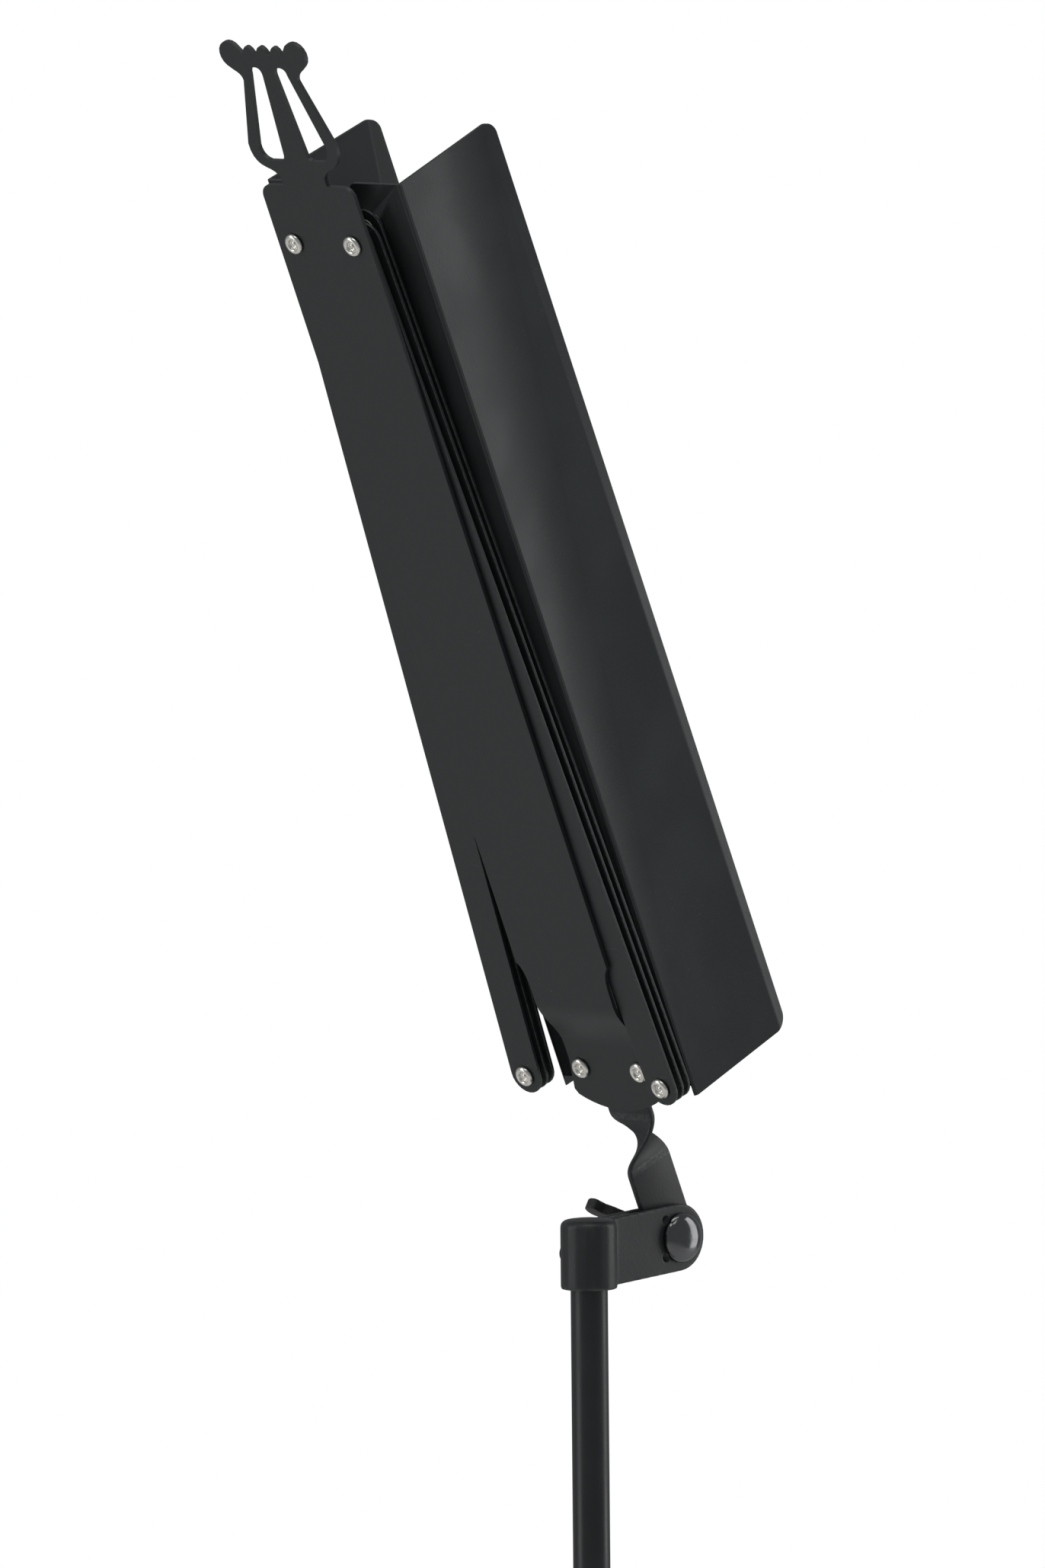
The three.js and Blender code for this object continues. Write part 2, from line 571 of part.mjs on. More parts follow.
function clampHead() {
  const half = CHEEK_HEIGHT / 2;
  const cheek = new THREE.Shape();
  const slope = Math.asin(CHEEK_RISE / PIVOT_REACH);
  cheek.moveTo(PIVOT_REACH, -half - CHEEK_RISE);
  cheek.lineTo(PIVOT_REACH, half - CHEEK_RISE);
  cheek.absarc(0, 0, half, Math.PI / 2 - slope, 1.5 * Math.PI - slope, false);
  cheek.closePath();
  const alongX = new THREE.Matrix4().makeBasis(
    new THREE.Vector3(0, 1, 0),
    new THREE.Vector3(0, 0, 1),
    new THREE.Vector3(1, 0, 0),
  );
  const block = extrude(cheek, 2 * cheekOuter, 10).applyMatrix4(alongX).translate(-cheekOuter, 0, 0);
  const cap = lathe([
    [0, -half],
    [capRadius, -half],
    [capRadius, half - CAP_DOME / 2],
    [capRadius * 0.85, half + CAP_DOME * 0.2],
    [capRadius * 0.45, half + CAP_DOME * 0.45],
    [0, half + CAP_DOME / 2],
  ]).translate(0, PIVOT_REACH, -CHEEK_RISE);
  const slot = box(-cheekInner, cheekInner, -half - 5, PIVOT_REACH - capRadius + 1.6, -half - 5, half + 5);
  const boreTop = upperTubeTop + GAP - pivotZ;
  const bore = rod(UPPER_TUBE_RADIUS + GAP, -half - 5, boreTop).translate(0, PIVOT_REACH, 0);
  const boltHole = rod(BOLT_RADIUS + HOLE_CLEARANCE, -20, 20, HOLE_STEPS).rotateY(Math.PI / 2);
  const rivetSeat = rod(RIVET_SHANK_RADIUS + HOLE_CLEARANCE, 0, 20, HOLE_STEPS).rotateY(Math.PI / 2)
    .translate(0, PIVOT_REACH, -CHEEK_RISE);
  return cut(join(block, cap), slot, bore, boltHole, rivetSeat);
}

function tiltBolt() {
  const head = -cheekOuter - GAP;
  const nut = cheekOuter + 2 * GAP + WASHER_SHEET + WING_NUT_HEIGHT;
  return lathe([
    [0, head - BOLT_HEAD_HEIGHT],
    [BOLT_HEAD_RADIUS * 0.45, head - BOLT_HEAD_HEIGHT * 0.88],
    [BOLT_HEAD_RADIUS * 0.8, head - BOLT_HEAD_HEIGHT * 0.52],
    [BOLT_HEAD_RADIUS * 0.98, head - BOLT_HEAD_HEIGHT * 0.18],
    [BOLT_HEAD_RADIUS, head],
    [BOLT_RADIUS, head],
    [BOLT_RADIUS, nut + 3],
    [BOLT_RADIUS - 0.5, nut + 3.5],
    [0, nut + 3.5],
  ]).rotateY(Math.PI / 2);
}

function washer() {
  const start = cheekOuter + GAP;
  return tube(WASHER_RADIUS, BOLT_RADIUS + HOLE_CLEARANCE, start, start + WASHER_SHEET, 20)
    .rotateY(Math.PI / 2);
}

function wingNut() {
  const start = cheekOuter + 2 * GAP + WASHER_SHEET;
  const end = start + WING_NUT_HEIGHT;
  const hub = lathe([
    [0, start],
    [WING_NUT_RADIUS, start],
    [WING_NUT_RADIUS * 0.78, end],
    [0, end],
  ], 20);
  const wings = [-1, 1].map((side) => {
    const wing = new THREE.Shape();
    const waistX = side * WING_SPAN * 0.42;
    wing.moveTo(side * 1.0, start + 1.2);
    wing.quadraticCurveTo(side * WING_SPAN * 0.3, start + 1.0, waistX, start + WING_HEIGHT * 0.55);
    wing.absarc(
      side * (WING_SPAN / 2 - 3.4), start + WING_HEIGHT - 3.4, 3.4,
      side > 0 ? -0.5 : Math.PI + 0.5, side > 0 ? Math.PI * 0.85 : Math.PI * 0.15, side < 0,
    );
    wing.lineTo(side * 1.0, end - 1.2);
    wing.closePath();
    return extrude(wing, WING_SHEET, 6).rotateX(Math.PI / 2).translate(0, WING_SHEET / 2, 0);
  });
  const whole = cut(join(hub, ...wings), rod(BOLT_RADIUS + HOLE_CLEARANCE, start - 5, end + 5, HOLE_STEPS));
  return whole.rotateY(Math.PI / 2);
}

function capRivet() {
  const seat = capRadius + GAP;
  return lathe([
    [0, UPPER_TUBE_RADIUS + GAP + 0.4],
    [RIVET_SHANK_RADIUS, UPPER_TUBE_RADIUS + GAP + 0.4],
    [RIVET_SHANK_RADIUS, seat],
    [rivetHeadRadius, seat],
    [rivetHeadRadius * 0.9, seat + 0.7],
    [rivetHeadRadius * 0.5, seat + 1.2],
    [0, seat + 1.3],
  ], RIVET_STEPS).rotateY(Math.PI / 2);
}

// ---- pole ----

// A lock collar on a tube's top end: it grips the tube and guides the thinner tube in it
function lockCollar(tubeRadius, innerRadius) {
  const outer = tubeRadius + LOCK_COLLAR_RADIUS_OVER_TUBE;
  const seat = tubeRadius + GAP;
  const body = lathe([
    [innerRadius + GAP, GAP],
    [seat, GAP],
    [seat, -LOCK_COLLAR_HEIGHT],
    [outer - 0.6, -LOCK_COLLAR_HEIGHT],
    [outer, -LOCK_COLLAR_HEIGHT + 0.6],
    [outer, LOCK_COLLAR_LIP - 1.0],
    [outer - 1.0, LOCK_COLLAR_LIP],
    [innerRadius + GAP, LOCK_COLLAR_LIP],
    [innerRadius + GAP, GAP],
  ]);
  const boss = tube(bossRadius, SCREW_RADIUS + GAP, tubeRadius + 1.0, outer + LOCK_BOSS_LENGTH, HOLE_STEPS)
    .rotateX(Math.PI / 2).translate(0, 0, -LOCK_COLLAR_HEIGHT / 2);
  const core = rod(seat, -LOCK_COLLAR_HEIGHT - 5, GAP);
  const screwWay = rod(SCREW_RADIUS + GAP, tubeRadius, outer + 1, HOLE_STEPS).rotateX(Math.PI / 2)
    .translate(0, 0, -LOCK_COLLAR_HEIGHT / 2);
  return cut(join(body, boss), core, screwWay);
}

function knobShape(radius) {
  const shape = new THREE.Shape();
  const steps = KNOB_LOBES * 6;
  for (let i = 0; i < steps; i += 1) {
    const a = 2 * Math.PI * i / steps;
    const r = radius * (0.9 + 0.1 * Math.cos(KNOB_LOBES * a));
    if (i === 0) {
      shape.moveTo(r, 0);
    } else {
      shape.lineTo(r * Math.cos(a), r * Math.sin(a));
    }
  }
  shape.closePath();
  return shape;
}

// A thumb screw pointing along -Y from the pole axis: its tip stops short of the tube it locks
function thumbScrew(gripRadius, bossEnd) {
  const tip = gripRadius + GAP;
  const knobStart = bossEnd + GAP;
  const stem = rod(SCREW_RADIUS, tip, knobStart + 2, HOLE_STEPS);
  const knob = extrude(knobShape(KNOB_RADIUS), KNOB_LENGTH).translate(0, 0, knobStart);
  return join(stem, knob).rotateX(Math.PI / 2);
}

function endPlug() {
  const inner = lowerTubeRadius - LOWER_TUBE_WALL - GAP;
  return lathe([
    [0, lowerTubeBottom - GAP - PLUG_LIP],
    [lowerTubeRadius - 1.0, lowerTubeBottom - GAP - PLUG_LIP],
    [lowerTubeRadius, lowerTubeBottom - GAP - PLUG_LIP + 1.0],
    [lowerTubeRadius, lowerTubeBottom - GAP],
    [inner, lowerTubeBottom - GAP],
    [inner, lowerTubeBottom + PLUG_DEPTH],
    [0, lowerTubeBottom + PLUG_DEPTH],
  ]);
}

// ---- tripod ----

// A sleeve round the lower tube with a pair of lugs for each leg or brace between t0 and t1
function luggedSleeve(height, t0, t1, lugRadius) {
  const inner = lowerTubeRadius + GAP;
  const body = [rod(sleeveOuter, -height / 2, height / 2)];
  const holes = [rod(inner, -height, height)];
  for (let i = 0; i < LEG_COUNT; i += 1) {
    const turn = -Math.PI / 2 + 2 * Math.PI * i / LEG_COUNT;
    for (const start of [t0 - HOLE_CLEARANCE - LUG_SHEET, t1 + HOLE_CLEARANCE]) {
      const lug = new THREE.Shape();
      lug.absarc(pivotCircle, 0, lugRadius, -Math.PI / 2, Math.PI / 2, false);
      lug.lineTo(inner + 0.8, lugRadius);
      lug.closePath();
      circleHole(lug, pivotCircle, 0, PIN_RADIUS + HOLE_CLEARANCE);
      const plate = extrude(lug, LUG_SHEET).rotateX(Math.PI / 2).translate(0, start + LUG_SHEET, 0);
      body.push(plate.rotateZ(turn));
    }
  }
  return cut(join(...body), ...holes);
}

function tripodCollar() {
  const sleeve = luggedSleeve(COLLAR_HEIGHT, -legHalf, legHalf, COLLAR_LUG_RADIUS);
  const bossZ = COLLAR_HEIGHT / 2 - bossRadius - COLLAR_BOSS_BELOW_TOP;
  const bossEnd = sleeveOuter + LOCK_BOSS_LENGTH;
  const boss = tube(bossRadius, SCREW_RADIUS + GAP, lowerTubeRadius + 1, bossEnd, HOLE_STEPS)
    .rotateY(Math.PI / 2).rotateZ(Math.PI / 2).translate(0, 0, bossZ);
  const screwWay = rod(SCREW_RADIUS + GAP, lowerTubeRadius - 1, sleeveOuter + 1, HOLE_STEPS)
    .rotateY(Math.PI / 2).rotateZ(Math.PI / 2).translate(0, 0, bossZ);
  return cut(join(sleeve, boss), screwWay, rod(lowerTubeRadius + GAP, -COLLAR_HEIGHT, COLLAR_HEIGHT));
}

function pin(t0, t1) {
  return lathe([
    [0, t0 - PIN_HEAD_HEIGHT],
    [PIN_HEAD_RADIUS * 0.7, t0 - PIN_HEAD_HEIGHT * 0.8],
    [PIN_HEAD_RADIUS, t0 - 0.2],
    [PIN_HEAD_RADIUS, t0],
    [PIN_RADIUS, t0],
    [PIN_RADIUS, t1],
    [PIN_HEAD_RADIUS, t1],
    [PIN_HEAD_RADIUS, t1 + 0.2],
    [PIN_HEAD_RADIUS * 0.7, t1 + PIN_HEAD_HEIGHT * 0.8],
    [0, t1 + PIN_HEAD_HEIGHT],
  ], RIVET_STEPS).rotateX(-Math.PI / 2);
}

function halfPin(headFace, endFace) {
  const away = Math.sign(headFace - endFace);
  const points = [
    [0, endFace],
    [PIN_RADIUS, endFace],
    [PIN_RADIUS, headFace],
    [PIN_HEAD_RADIUS, headFace],
    [PIN_HEAD_RADIUS, headFace + away * 0.2],
    [PIN_HEAD_RADIUS * 0.7, headFace + away * PIN_HEAD_HEIGHT * 0.8],
    [0, headFace + away * PIN_HEAD_HEIGHT],
  ];
  const ordered = away > 0 ? points : points.reverse();
  return lathe(ordered, RIVET_STEPS).rotateX(-Math.PI / 2);
}

function legBar() {
  const shape = stripShape(LEG_LENGTH, LEG_WIDTH);
  circleHole(shape, 0, 0, PIN_RADIUS + HOLE_CLEARANCE);
  circleHole(shape, 0, braceLength, PIN_RADIUS + HOLE_CLEARANCE);
  return extrude(shape, LEG_SHEET).rotateX(Math.PI / 2).translate(0, legHalf, 0);
}

function braceBar() {
  const shape = stripShape(braceLength, BRACE_WIDTH);
  circleHole(shape, 0, 0, PIN_RADIUS + HOLE_CLEARANCE);
  circleHole(shape, 0, braceLength, PIN_RADIUS + HOLE_CLEARANCE);
  return extrude(shape, BRACE_SHEET).rotateX(Math.PI / 2).translate(0, braceOuter, 0);
}

// The rubber foot, drawn along the leg with its sole cut level at the floor
function foot() {
  const w = FOOT_WIDTH / 2;
  const shape = new THREE.Shape();
  const start = LEG_LENGTH - FOOT_LENGTH + w;
  const end = LEG_LENGTH + 2;
  shape.moveTo(-w + 1.5, start);
  shape.lineTo(w - 1.5, start);
  shape.lineTo(w, start + 1.5);
  shape.absarc(0, end, w, 0, Math.PI, false);
  shape.lineTo(-w, start + 1.5);
  shape.closePath();
  const body = extrude(shape, FOOT_THICKNESS).rotateX(Math.PI / 2).translate(0, FOOT_THICKNESS / 2, 0);
  const pocketShape = stripShape(FOOT_LENGTH * 2, LEG_WIDTH + 2 * GAP);
  const pocket = extrude(pocketShape, LEG_SHEET + 2 * GAP)
    .rotateX(Math.PI / 2).translate(0, legHalf + GAP, LEG_LENGTH - FOOT_LENGTH * 2);
  return cut(body, pocket, floorCut());
}

// Everything below the floor, seen from a leg's own turned frame
function floorCut() {
  const slab = box(-60, 60, -60, 60, -60, 0);
  slab.translate(0, 0, -FOOT_PIVOT_HEIGHT);
  slab.rotateY(rad(LEG_ANGLE_DEG) - Math.PI);
  slab.translate(0, 0, LEG_LENGTH);
  return slab;
}

// ---- assembly ----

const stand = new THREE.Group();

function buildTripod() {
  add(stand, "tripod_collar", tripodCollar().translate(0, 0, collarPivotZ), paint);
  const bossZ = collarPivotZ + COLLAR_HEIGHT / 2 - bossRadius - COLLAR_BOSS_BELOW_TOP;
  const screw = thumbScrew(lowerTubeRadius, sleeveOuter + LOCK_BOSS_LENGTH);
  add(stand, "tripod_thumb_screw", screw.rotateZ(Math.PI).translate(0, 0, bossZ), plastic);
  const hub = luggedSleeve(HUB_HEIGHT, braceInner, braceOuter, HUB_LUG_RADIUS);
  add(stand, "tripod_hub", hub.translate(0, 0, HUB_PIVOT_HEIGHT), paint);
  for (let i = 0; i < LEG_COUNT; i += 1) {
    const number = i + 1;
    const arm = new THREE.Group();
    arm.rotation.z = -Math.PI / 2 + 2 * Math.PI * i / LEG_COUNT;
    stand.add(arm);
    const down = Math.PI - rad(LEG_ANGLE_DEG);
    const leg = pivotGroup(arm, `at_leg_${number}`, new THREE.Vector3(pivotCircle, 0, collarPivotZ), down);
    add(leg, `leg_${number}`, legBar(), paint);
    add(leg, `foot_${number}`, foot(), rubber);
    const middle = pivotGroup(leg, "", new THREE.Vector3(0, 0, braceLength));
    add(middle, `leg_rivet_${number}`, halfPin(-legHalf - GAP, legHalf), nickel);
    const up = rad(LEG_ANGLE_DEG);
    const hubPivot = new THREE.Vector3(pivotCircle, 0, HUB_PIVOT_HEIGHT);
    const brace = pivotGroup(arm, `at_brace_${number}`, hubPivot, up);
    add(brace, `brace_${number}`, braceBar(), paint);
    const braceEnd = pivotGroup(brace, "", new THREE.Vector3(0, 0, braceLength));
    add(braceEnd, `brace_rivet_${number}`, halfPin(braceOuter + GAP, braceInner + 0.1), nickel);
    const outer = HOLE_CLEARANCE + LUG_SHEET + GAP;
    const top = pivotGroup(arm, "", new THREE.Vector3(pivotCircle, 0, collarPivotZ));
    add(top, `collar_pin_${number}`, pin(-legHalf - outer, legHalf + outer), nickel);
    const low = pivotGroup(arm, "", hubPivot);
    add(low, `hub_pin_${number}`, pin(braceInner - outer, braceOuter + outer), nickel);
  }
}

function buildPole() {
  const lowerInner = lowerTubeRadius - LOWER_TUBE_WALL;
  add(stand, "lower_tube", tube(lowerTubeRadius, lowerInner, lowerTubeBottom, lowerTubeTop), paint);
  add(stand, "tube_end_plug", endPlug(), plastic);
  const lowerCollar = lockCollar(lowerTubeRadius, middleTubeRadius);
  add(stand, "lower_lock_collar", lowerCollar.translate(0, 0, lowerTubeTop), paint);
  const middleBottom = middleTubeTop - MIDDLE_TUBE_LENGTH;
  const middleInner = middleTubeRadius - MIDDLE_TUBE_WALL;
  add(stand, "middle_tube", tube(middleTubeRadius, middleInner, middleBottom, middleTubeTop), paint);
  const middleCollar = lockCollar(middleTubeRadius, UPPER_TUBE_RADIUS);
  add(stand, "middle_lock_collar", middleCollar.translate(0, 0, middleTubeTop), paint);
  const upperInner = UPPER_TUBE_RADIUS - UPPER_TUBE_WALL;
  const upperBottom = upperTubeTop - UPPER_TUBE_LENGTH;
  add(stand, "upper_tube", tube(UPPER_TUBE_RADIUS, upperInner, upperBottom, upperTubeTop), paint);
  for (const [name, radius, top] of [
    ["lower_thumb_screw", lowerTubeRadius, lowerTubeTop],
    ["middle_thumb_screw", middleTubeRadius, middleTubeTop],
  ]) {
    const screw = thumbScrew(radius, radius + LOCK_COLLAR_RADIUS_OVER_TUBE + LOCK_BOSS_LENGTH);
    add(stand, name, screw.translate(0, 0, top - LOCK_COLLAR_HEIGHT / 2), plastic);
  }
}

function buildClamp() {
  const clamp = pivotGroup(stand, "at_tilt", new THREE.Vector3(0, -PIVOT_REACH, pivotZ));
  add(clamp, "clamp_head", clampHead(), paint);
  add(clamp, "tilt_bolt", tiltBolt(), chrome);
  add(clamp, "washer", washer(), chrome);
  add(clamp, "wing_nut", wingNut().rotateX(rad(WING_TURN_DEG)), plastic);
  add(clamp, "cap_rivet", capRivet().translate(0, PIVOT_REACH, -CHEEK_RISE), paint);
}

function buildDesk() {
  const tilt = new THREE.Group();
  tilt.position.set(0, -PIVOT_REACH, pivotZ);
  tilt.rotation.x = -rad(DESK_TILT_DEG);
  stand.add(tilt);
  const desk = pivotGroup(tilt, "at_desk", new THREE.Vector3(0, strapMid, PIVOT_DROP));
  add(desk, "centre_plate", centrePlate(), paint);
  add(desk, "tilt_strap", strap(), paint);
  for (const [name, side] of [["left", -1], ["right", 1]]) {
    buildWing(desk, name, side);
  }
}

function buildWing(desk, name, side) {
  const x = side * RIVET_HALF_SPACING;
  const armTurn = Math.PI - side * rad(ARM_SPREAD_DEG[name]);
  const topPlace = new THREE.Vector3(x, 0, COLUMN_RIVET_DISTANCE);
  const bottomPlace = new THREE.Vector3(x, 0, 0);
  const armEnd = new THREE.Vector3(
    x + armLength * Math.sin(armTurn),
    0,
    COLUMN_RIVET_DISTANCE + armLength * Math.cos(armTurn),
  );
  const ledgeEnd = new THREE.Vector3(x + side * LEDGE_END_RIVET_OUT, 0, ledgeEndRivetUp);
  const sideTurn = Math.atan2(ledgeEnd.x - armEnd.x, ledgeEnd.z - armEnd.z);
  const sideLength = Math.hypot(ledgeEnd.x - armEnd.x, ledgeEnd.z - armEnd.z);

  const arm = pivotGroup(desk, `at_arm_${name}`, topPlace, armTurn);
  add(arm, `upper_arm_${name}`, slat(armLength, armBack, [0, armLength]), paint);
  const end = pivotGroup(desk, `at_arm_end_${name}`, armEnd, sideTurn);
  add(end, `arm_end_rivet_${name}`, shoulderRivet(), nickel);
  add(end, `side_slat_${name}`, slat(sideLength, sideBack, [0, sideLength]), paint);
  const sideEnd = pivotGroup(end, "", new THREE.Vector3(0, 0, sideLength));
  add(sideEnd, `side_slat_rivet_${name}`, sideSlatRivet(), nickel);
  const page = pivotGroup(desk, `at_page_${name}`, armEnd, -side * rad(PAGE_SPREAD_DEG[name]));
  add(page, `page_slat_${name}`, slat(pageSlatLength, pageBack, [0]), paint);
  const shelf = pivotGroup(desk, `at_ledge_${name}`, bottomPlace);
  add(shelf, `ledge_${name}`, ledge(side), paint);
  const ledgeRivet = pivotGroup(desk, `at_ledge_end_${name}`, ledgeEnd);
  add(ledgeRivet, `ledge_end_rivet_${name}`, ledgeEndRivet(), nickel);
  const top = pivotGroup(desk, "", topPlace);
  add(top, `top_rivet_${name}`, rivet(plateBack, armFront), nickel);
  const bottom = pivotGroup(desk, "", bottomPlace);
  add(bottom, `bottom_rivet_${name}`, rivet(footBack, webFront), nickel);
  const spacer = tube(spacerRadius, rivetHole, footFront + GAP, webBack - GAP, 16).rotateX(Math.PI / 2);
  add(bottom, `bottom_spacer_${name}`, spacer, nickel);
}

// The open pivot's two halves: one sits in the side slat, the other in the ledge, with a gap between
function sideSlatRivet() {
  const head = sideBack - GAP;
  return lathe([
    [0, head - RIVET_FLARE_HEIGHT],
    [rivetFlareRadius - 0.4, head - RIVET_FLARE_HEIGHT],
    [rivetFlareRadius, head],
    [RIVET_SHANK_RADIUS, head],
    [RIVET_SHANK_RADIUS, sideFront],
    [0, sideFront],
  ], RIVET_STEPS).rotateX(Math.PI / 2);
}

function ledgeEndRivet() {
  const face = webFront + GAP;
  return lathe([
    [0, sideFront + GAP],
    [rivetShoulderRadius, sideFront + GAP],
    [rivetShoulderRadius, webBack - GAP],
    [RIVET_SHANK_RADIUS, webBack - GAP],
    [RIVET_SHANK_RADIUS, face],
    [rivetFlareRadius, face],
    [rivetFlareRadius - 0.4, face + RIVET_FLARE_HEIGHT],
    [0, face + RIVET_FLARE_HEIGHT],
  ], RIVET_STEPS).rotateX(Math.PI / 2);
}

buildTripod();
buildPole();
buildClamp();
buildDesk();

// The origin is the middle of the stand's footprint box, on the floor
stand.updateMatrixWorld(true);
const extent = new THREE.Box3().setFromObject(stand, true);
const model = new THREE.Group();
model.add(stand);
stand.position.set(-(extent.min.x + extent.max.x) / 2, -(extent.min.y + extent.max.y) / 2, -extent.min.z);

export default model;
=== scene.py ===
"""A folding sheet-steel music stand: powder-coated sheets, tubular rivets and a formed tilt clamp."""

import json
import math

import bmesh
import bpy
from mathutils import Matrix, Vector


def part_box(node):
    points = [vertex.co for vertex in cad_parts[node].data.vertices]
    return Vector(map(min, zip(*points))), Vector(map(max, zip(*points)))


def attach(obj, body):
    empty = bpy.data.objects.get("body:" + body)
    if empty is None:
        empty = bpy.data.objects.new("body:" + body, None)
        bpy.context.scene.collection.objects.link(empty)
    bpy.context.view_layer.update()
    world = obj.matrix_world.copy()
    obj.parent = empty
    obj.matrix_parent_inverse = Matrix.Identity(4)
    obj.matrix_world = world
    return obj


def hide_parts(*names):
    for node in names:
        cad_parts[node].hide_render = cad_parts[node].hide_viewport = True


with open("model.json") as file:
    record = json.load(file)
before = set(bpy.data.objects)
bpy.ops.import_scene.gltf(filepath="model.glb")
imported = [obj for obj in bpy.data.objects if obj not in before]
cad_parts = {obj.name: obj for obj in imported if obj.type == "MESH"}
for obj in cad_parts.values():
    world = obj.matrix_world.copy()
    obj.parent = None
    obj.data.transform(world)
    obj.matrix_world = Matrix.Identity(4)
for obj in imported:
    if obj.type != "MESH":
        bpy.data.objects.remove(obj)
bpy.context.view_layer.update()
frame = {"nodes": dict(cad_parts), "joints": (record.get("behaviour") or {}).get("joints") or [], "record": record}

MM = 0.001
SIDES = ("left", "right")
LEG_NUMBERS = (1, 2, 3)

# Sheet and tube finish
SHEET_EDGE = 0.22 * MM
BEND_OUTER = 2.0 * MM
BEND_INNER = 1.0 * MM
TUBE_SEGMENTS = 96
TURNED_SEGMENTS = 64
SHARP_ANGLE = math.radians(38)
BEVEL_ANGLE = math.radians(32)

JOINTS = {joint["name"]: joint for joint in frame["joints"]}
BODY_OF = {
    node: body
    for body, nodes in frame["record"]["behaviour"]["bodies"].items()
    for node in nodes
}

# The desk's own directions: across to the player's right, out of its front, and up its length
ACROSS = Vector((1, 0, 0))
DESK_FRONT = Vector(JOINTS["ledge_left_fold"]["axis"]).normalized()
DESK_UP = DESK_FRONT.cross(ACROSS)
TILT_PIVOT = Vector(JOINTS["desk_tilt"]["pos_m"])


# ---- pieces ----

def add_piece(name, bm, node, material, smooth=True):
    """A finished mesh becomes a piece that stands for one CAD node and rides on its body."""
    mesh = bpy.data.meshes.new(name)
    bm.to_mesh(mesh)
    bm.free()
    piece = bpy.data.objects.new(name, mesh)
    bpy.context.scene.collection.objects.link(piece)
    mesh.materials.append(material)
    if smooth:
        mesh.shade_smooth()
        mesh.set_sharp_from_angle(angle=SHARP_ANGLE)
    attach(piece, BODY_OF[node])
    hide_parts(node)
    return piece


def even_shading(piece):
    """Big flat faces keep their own shading beside their rounded edges."""
    weigh = piece.modifiers.new("even_shading", "WEIGHTED_NORMAL")
    weigh.keep_sharp = True
    weigh.weight = 80


def merged_copy(node):
    """The CAD node's triangles with shared corners, and flat areas as single faces."""
    bm = bmesh.new()
    bm.from_mesh(frame["nodes"][node].data)
    for layer in list(bm.loops.layers.uv.values()):
        bm.loops.layers.uv.remove(layer)
    bmesh.ops.remove_doubles(bm, verts=bm.verts, dist=2e-6)
    bmesh.ops.dissolve_degenerate(bm, edges=bm.edges, dist=1e-6)
    bmesh.ops.dissolve_limit(
        bm, angle_limit=math.radians(0.6), use_dissolve_boundaries=False, verts=bm.verts, edges=bm.edges
    )
    return bm


def round_edges(bm, edges, radius, segments):
    """Rounds the edges and marks the new faces as edge, where the coat is thinner and shinier and a lighter colour is
    painted on as a painted highlight.
    """
    mark = bm.faces.layers.float.get("edge") or bm.faces.layers.float.new("edge")
    made = bmesh.ops.bevel(
        bm, geom=edges, offset=radius, offset_type="OFFSET", segments=segments,
        profile=0.5, affect="EDGES", clamp_overlap=True, material=-1,
    )
    for face in made["faces"]:
        face[mark] = 1.0


def sharp_edges(bm):
    return [e for e in bm.edges if len(e.link_faces) == 2 and e.calc_face_angle(0) > BEVEL_ANGLE]


def coated_sheet(node, material, radius=SHEET_EDGE, segments=2):
    """A cut sheet with the small round edge that a powder coat leaves."""
    bm = merged_copy(node)
    round_edges(bm, sharp_edges(bm), radius, segments)
    piece = add_piece(f"{node}_coated", bm, node, material)
    even_shading(piece)
    return piece


def folded_ledge(side, material):
    """An L-shaped ledge: its long corner is a real sheet bend, round outside and inside."""
    node = f"ledge_{side}"
    bm = merged_copy(node)
    bmesh.ops.remove_doubles(bm, verts=bm.verts, dist=0.09 * MM)
    bmesh.ops.dissolve_limit(
        bm, angle_limit=math.radians(5), use_dissolve_boundaries=False, verts=bm.verts, edges=bm.edges
    )
    low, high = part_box(node)
    outer_x = low.x if side == "left" else high.x
    long_edge = 0.8 * (high - low).length
    bends = {"outer": [], "inner": []}
    for edge in sharp_edges(bm):
        if edge.calc_length() < 0.7 * long_edge:
            continue
        a = edge.verts[0].co
        depth = (a - TILT_PIVOT).dot(DESK_FRONT)
        inset = abs(a.x - outer_x)
        if inset < 0.3 * MM and depth < 5 * MM:
            bends["outer"].append(edge)
        elif inset < 1.4 * MM and depth < 6 * MM:
            bends["inner"].append(edge)
    made = {e for edges in bends.values() for e in edges}
    for edges, radius in ((bends["outer"], BEND_OUTER), (bends["inner"], BEND_INNER)):
        live = [e for e in edges if e.is_valid]
        if live:
            bmesh.ops.bevel(
                bm, geom=live, offset=radius, offset_type="OFFSET", segments=6,
                profile=0.5, affect="EDGES", clamp_overlap=True, material=-1,
            )
    round_edges(bm, [e for e in sharp_edges(bm) if e not in made], SHEET_EDGE, 2)
    piece = add_piece(f"{node}_folded", bm, node, material)
    even_shading(piece)
    return piece


def smooth_profile(points, per=4):
    """A Catmull-Rom line through a turned piece's (radius, height) points."""
    out = []
    last = len(points) - 1
    for i in range(last):
        a, b, c, d = (points[max(0, min(last, j))] for j in (i - 1, i, i + 1, i + 2))
        for k in range(per):
            t = k / per
            out.append(tuple(
                0.5 * (2 * b[n] + (c[n] - a[n]) * t
                       + (2 * a[n] - 5 * b[n] + 4 * c[n] - d[n]) * t * t
                       + (3 * b[n] - a[n] - 3 * c[n] + d[n]) * t ** 3)
                for n in (0, 1)
            ))
    out.append(points[last])
    return [(max(0.0, r), h) for r, h in out]


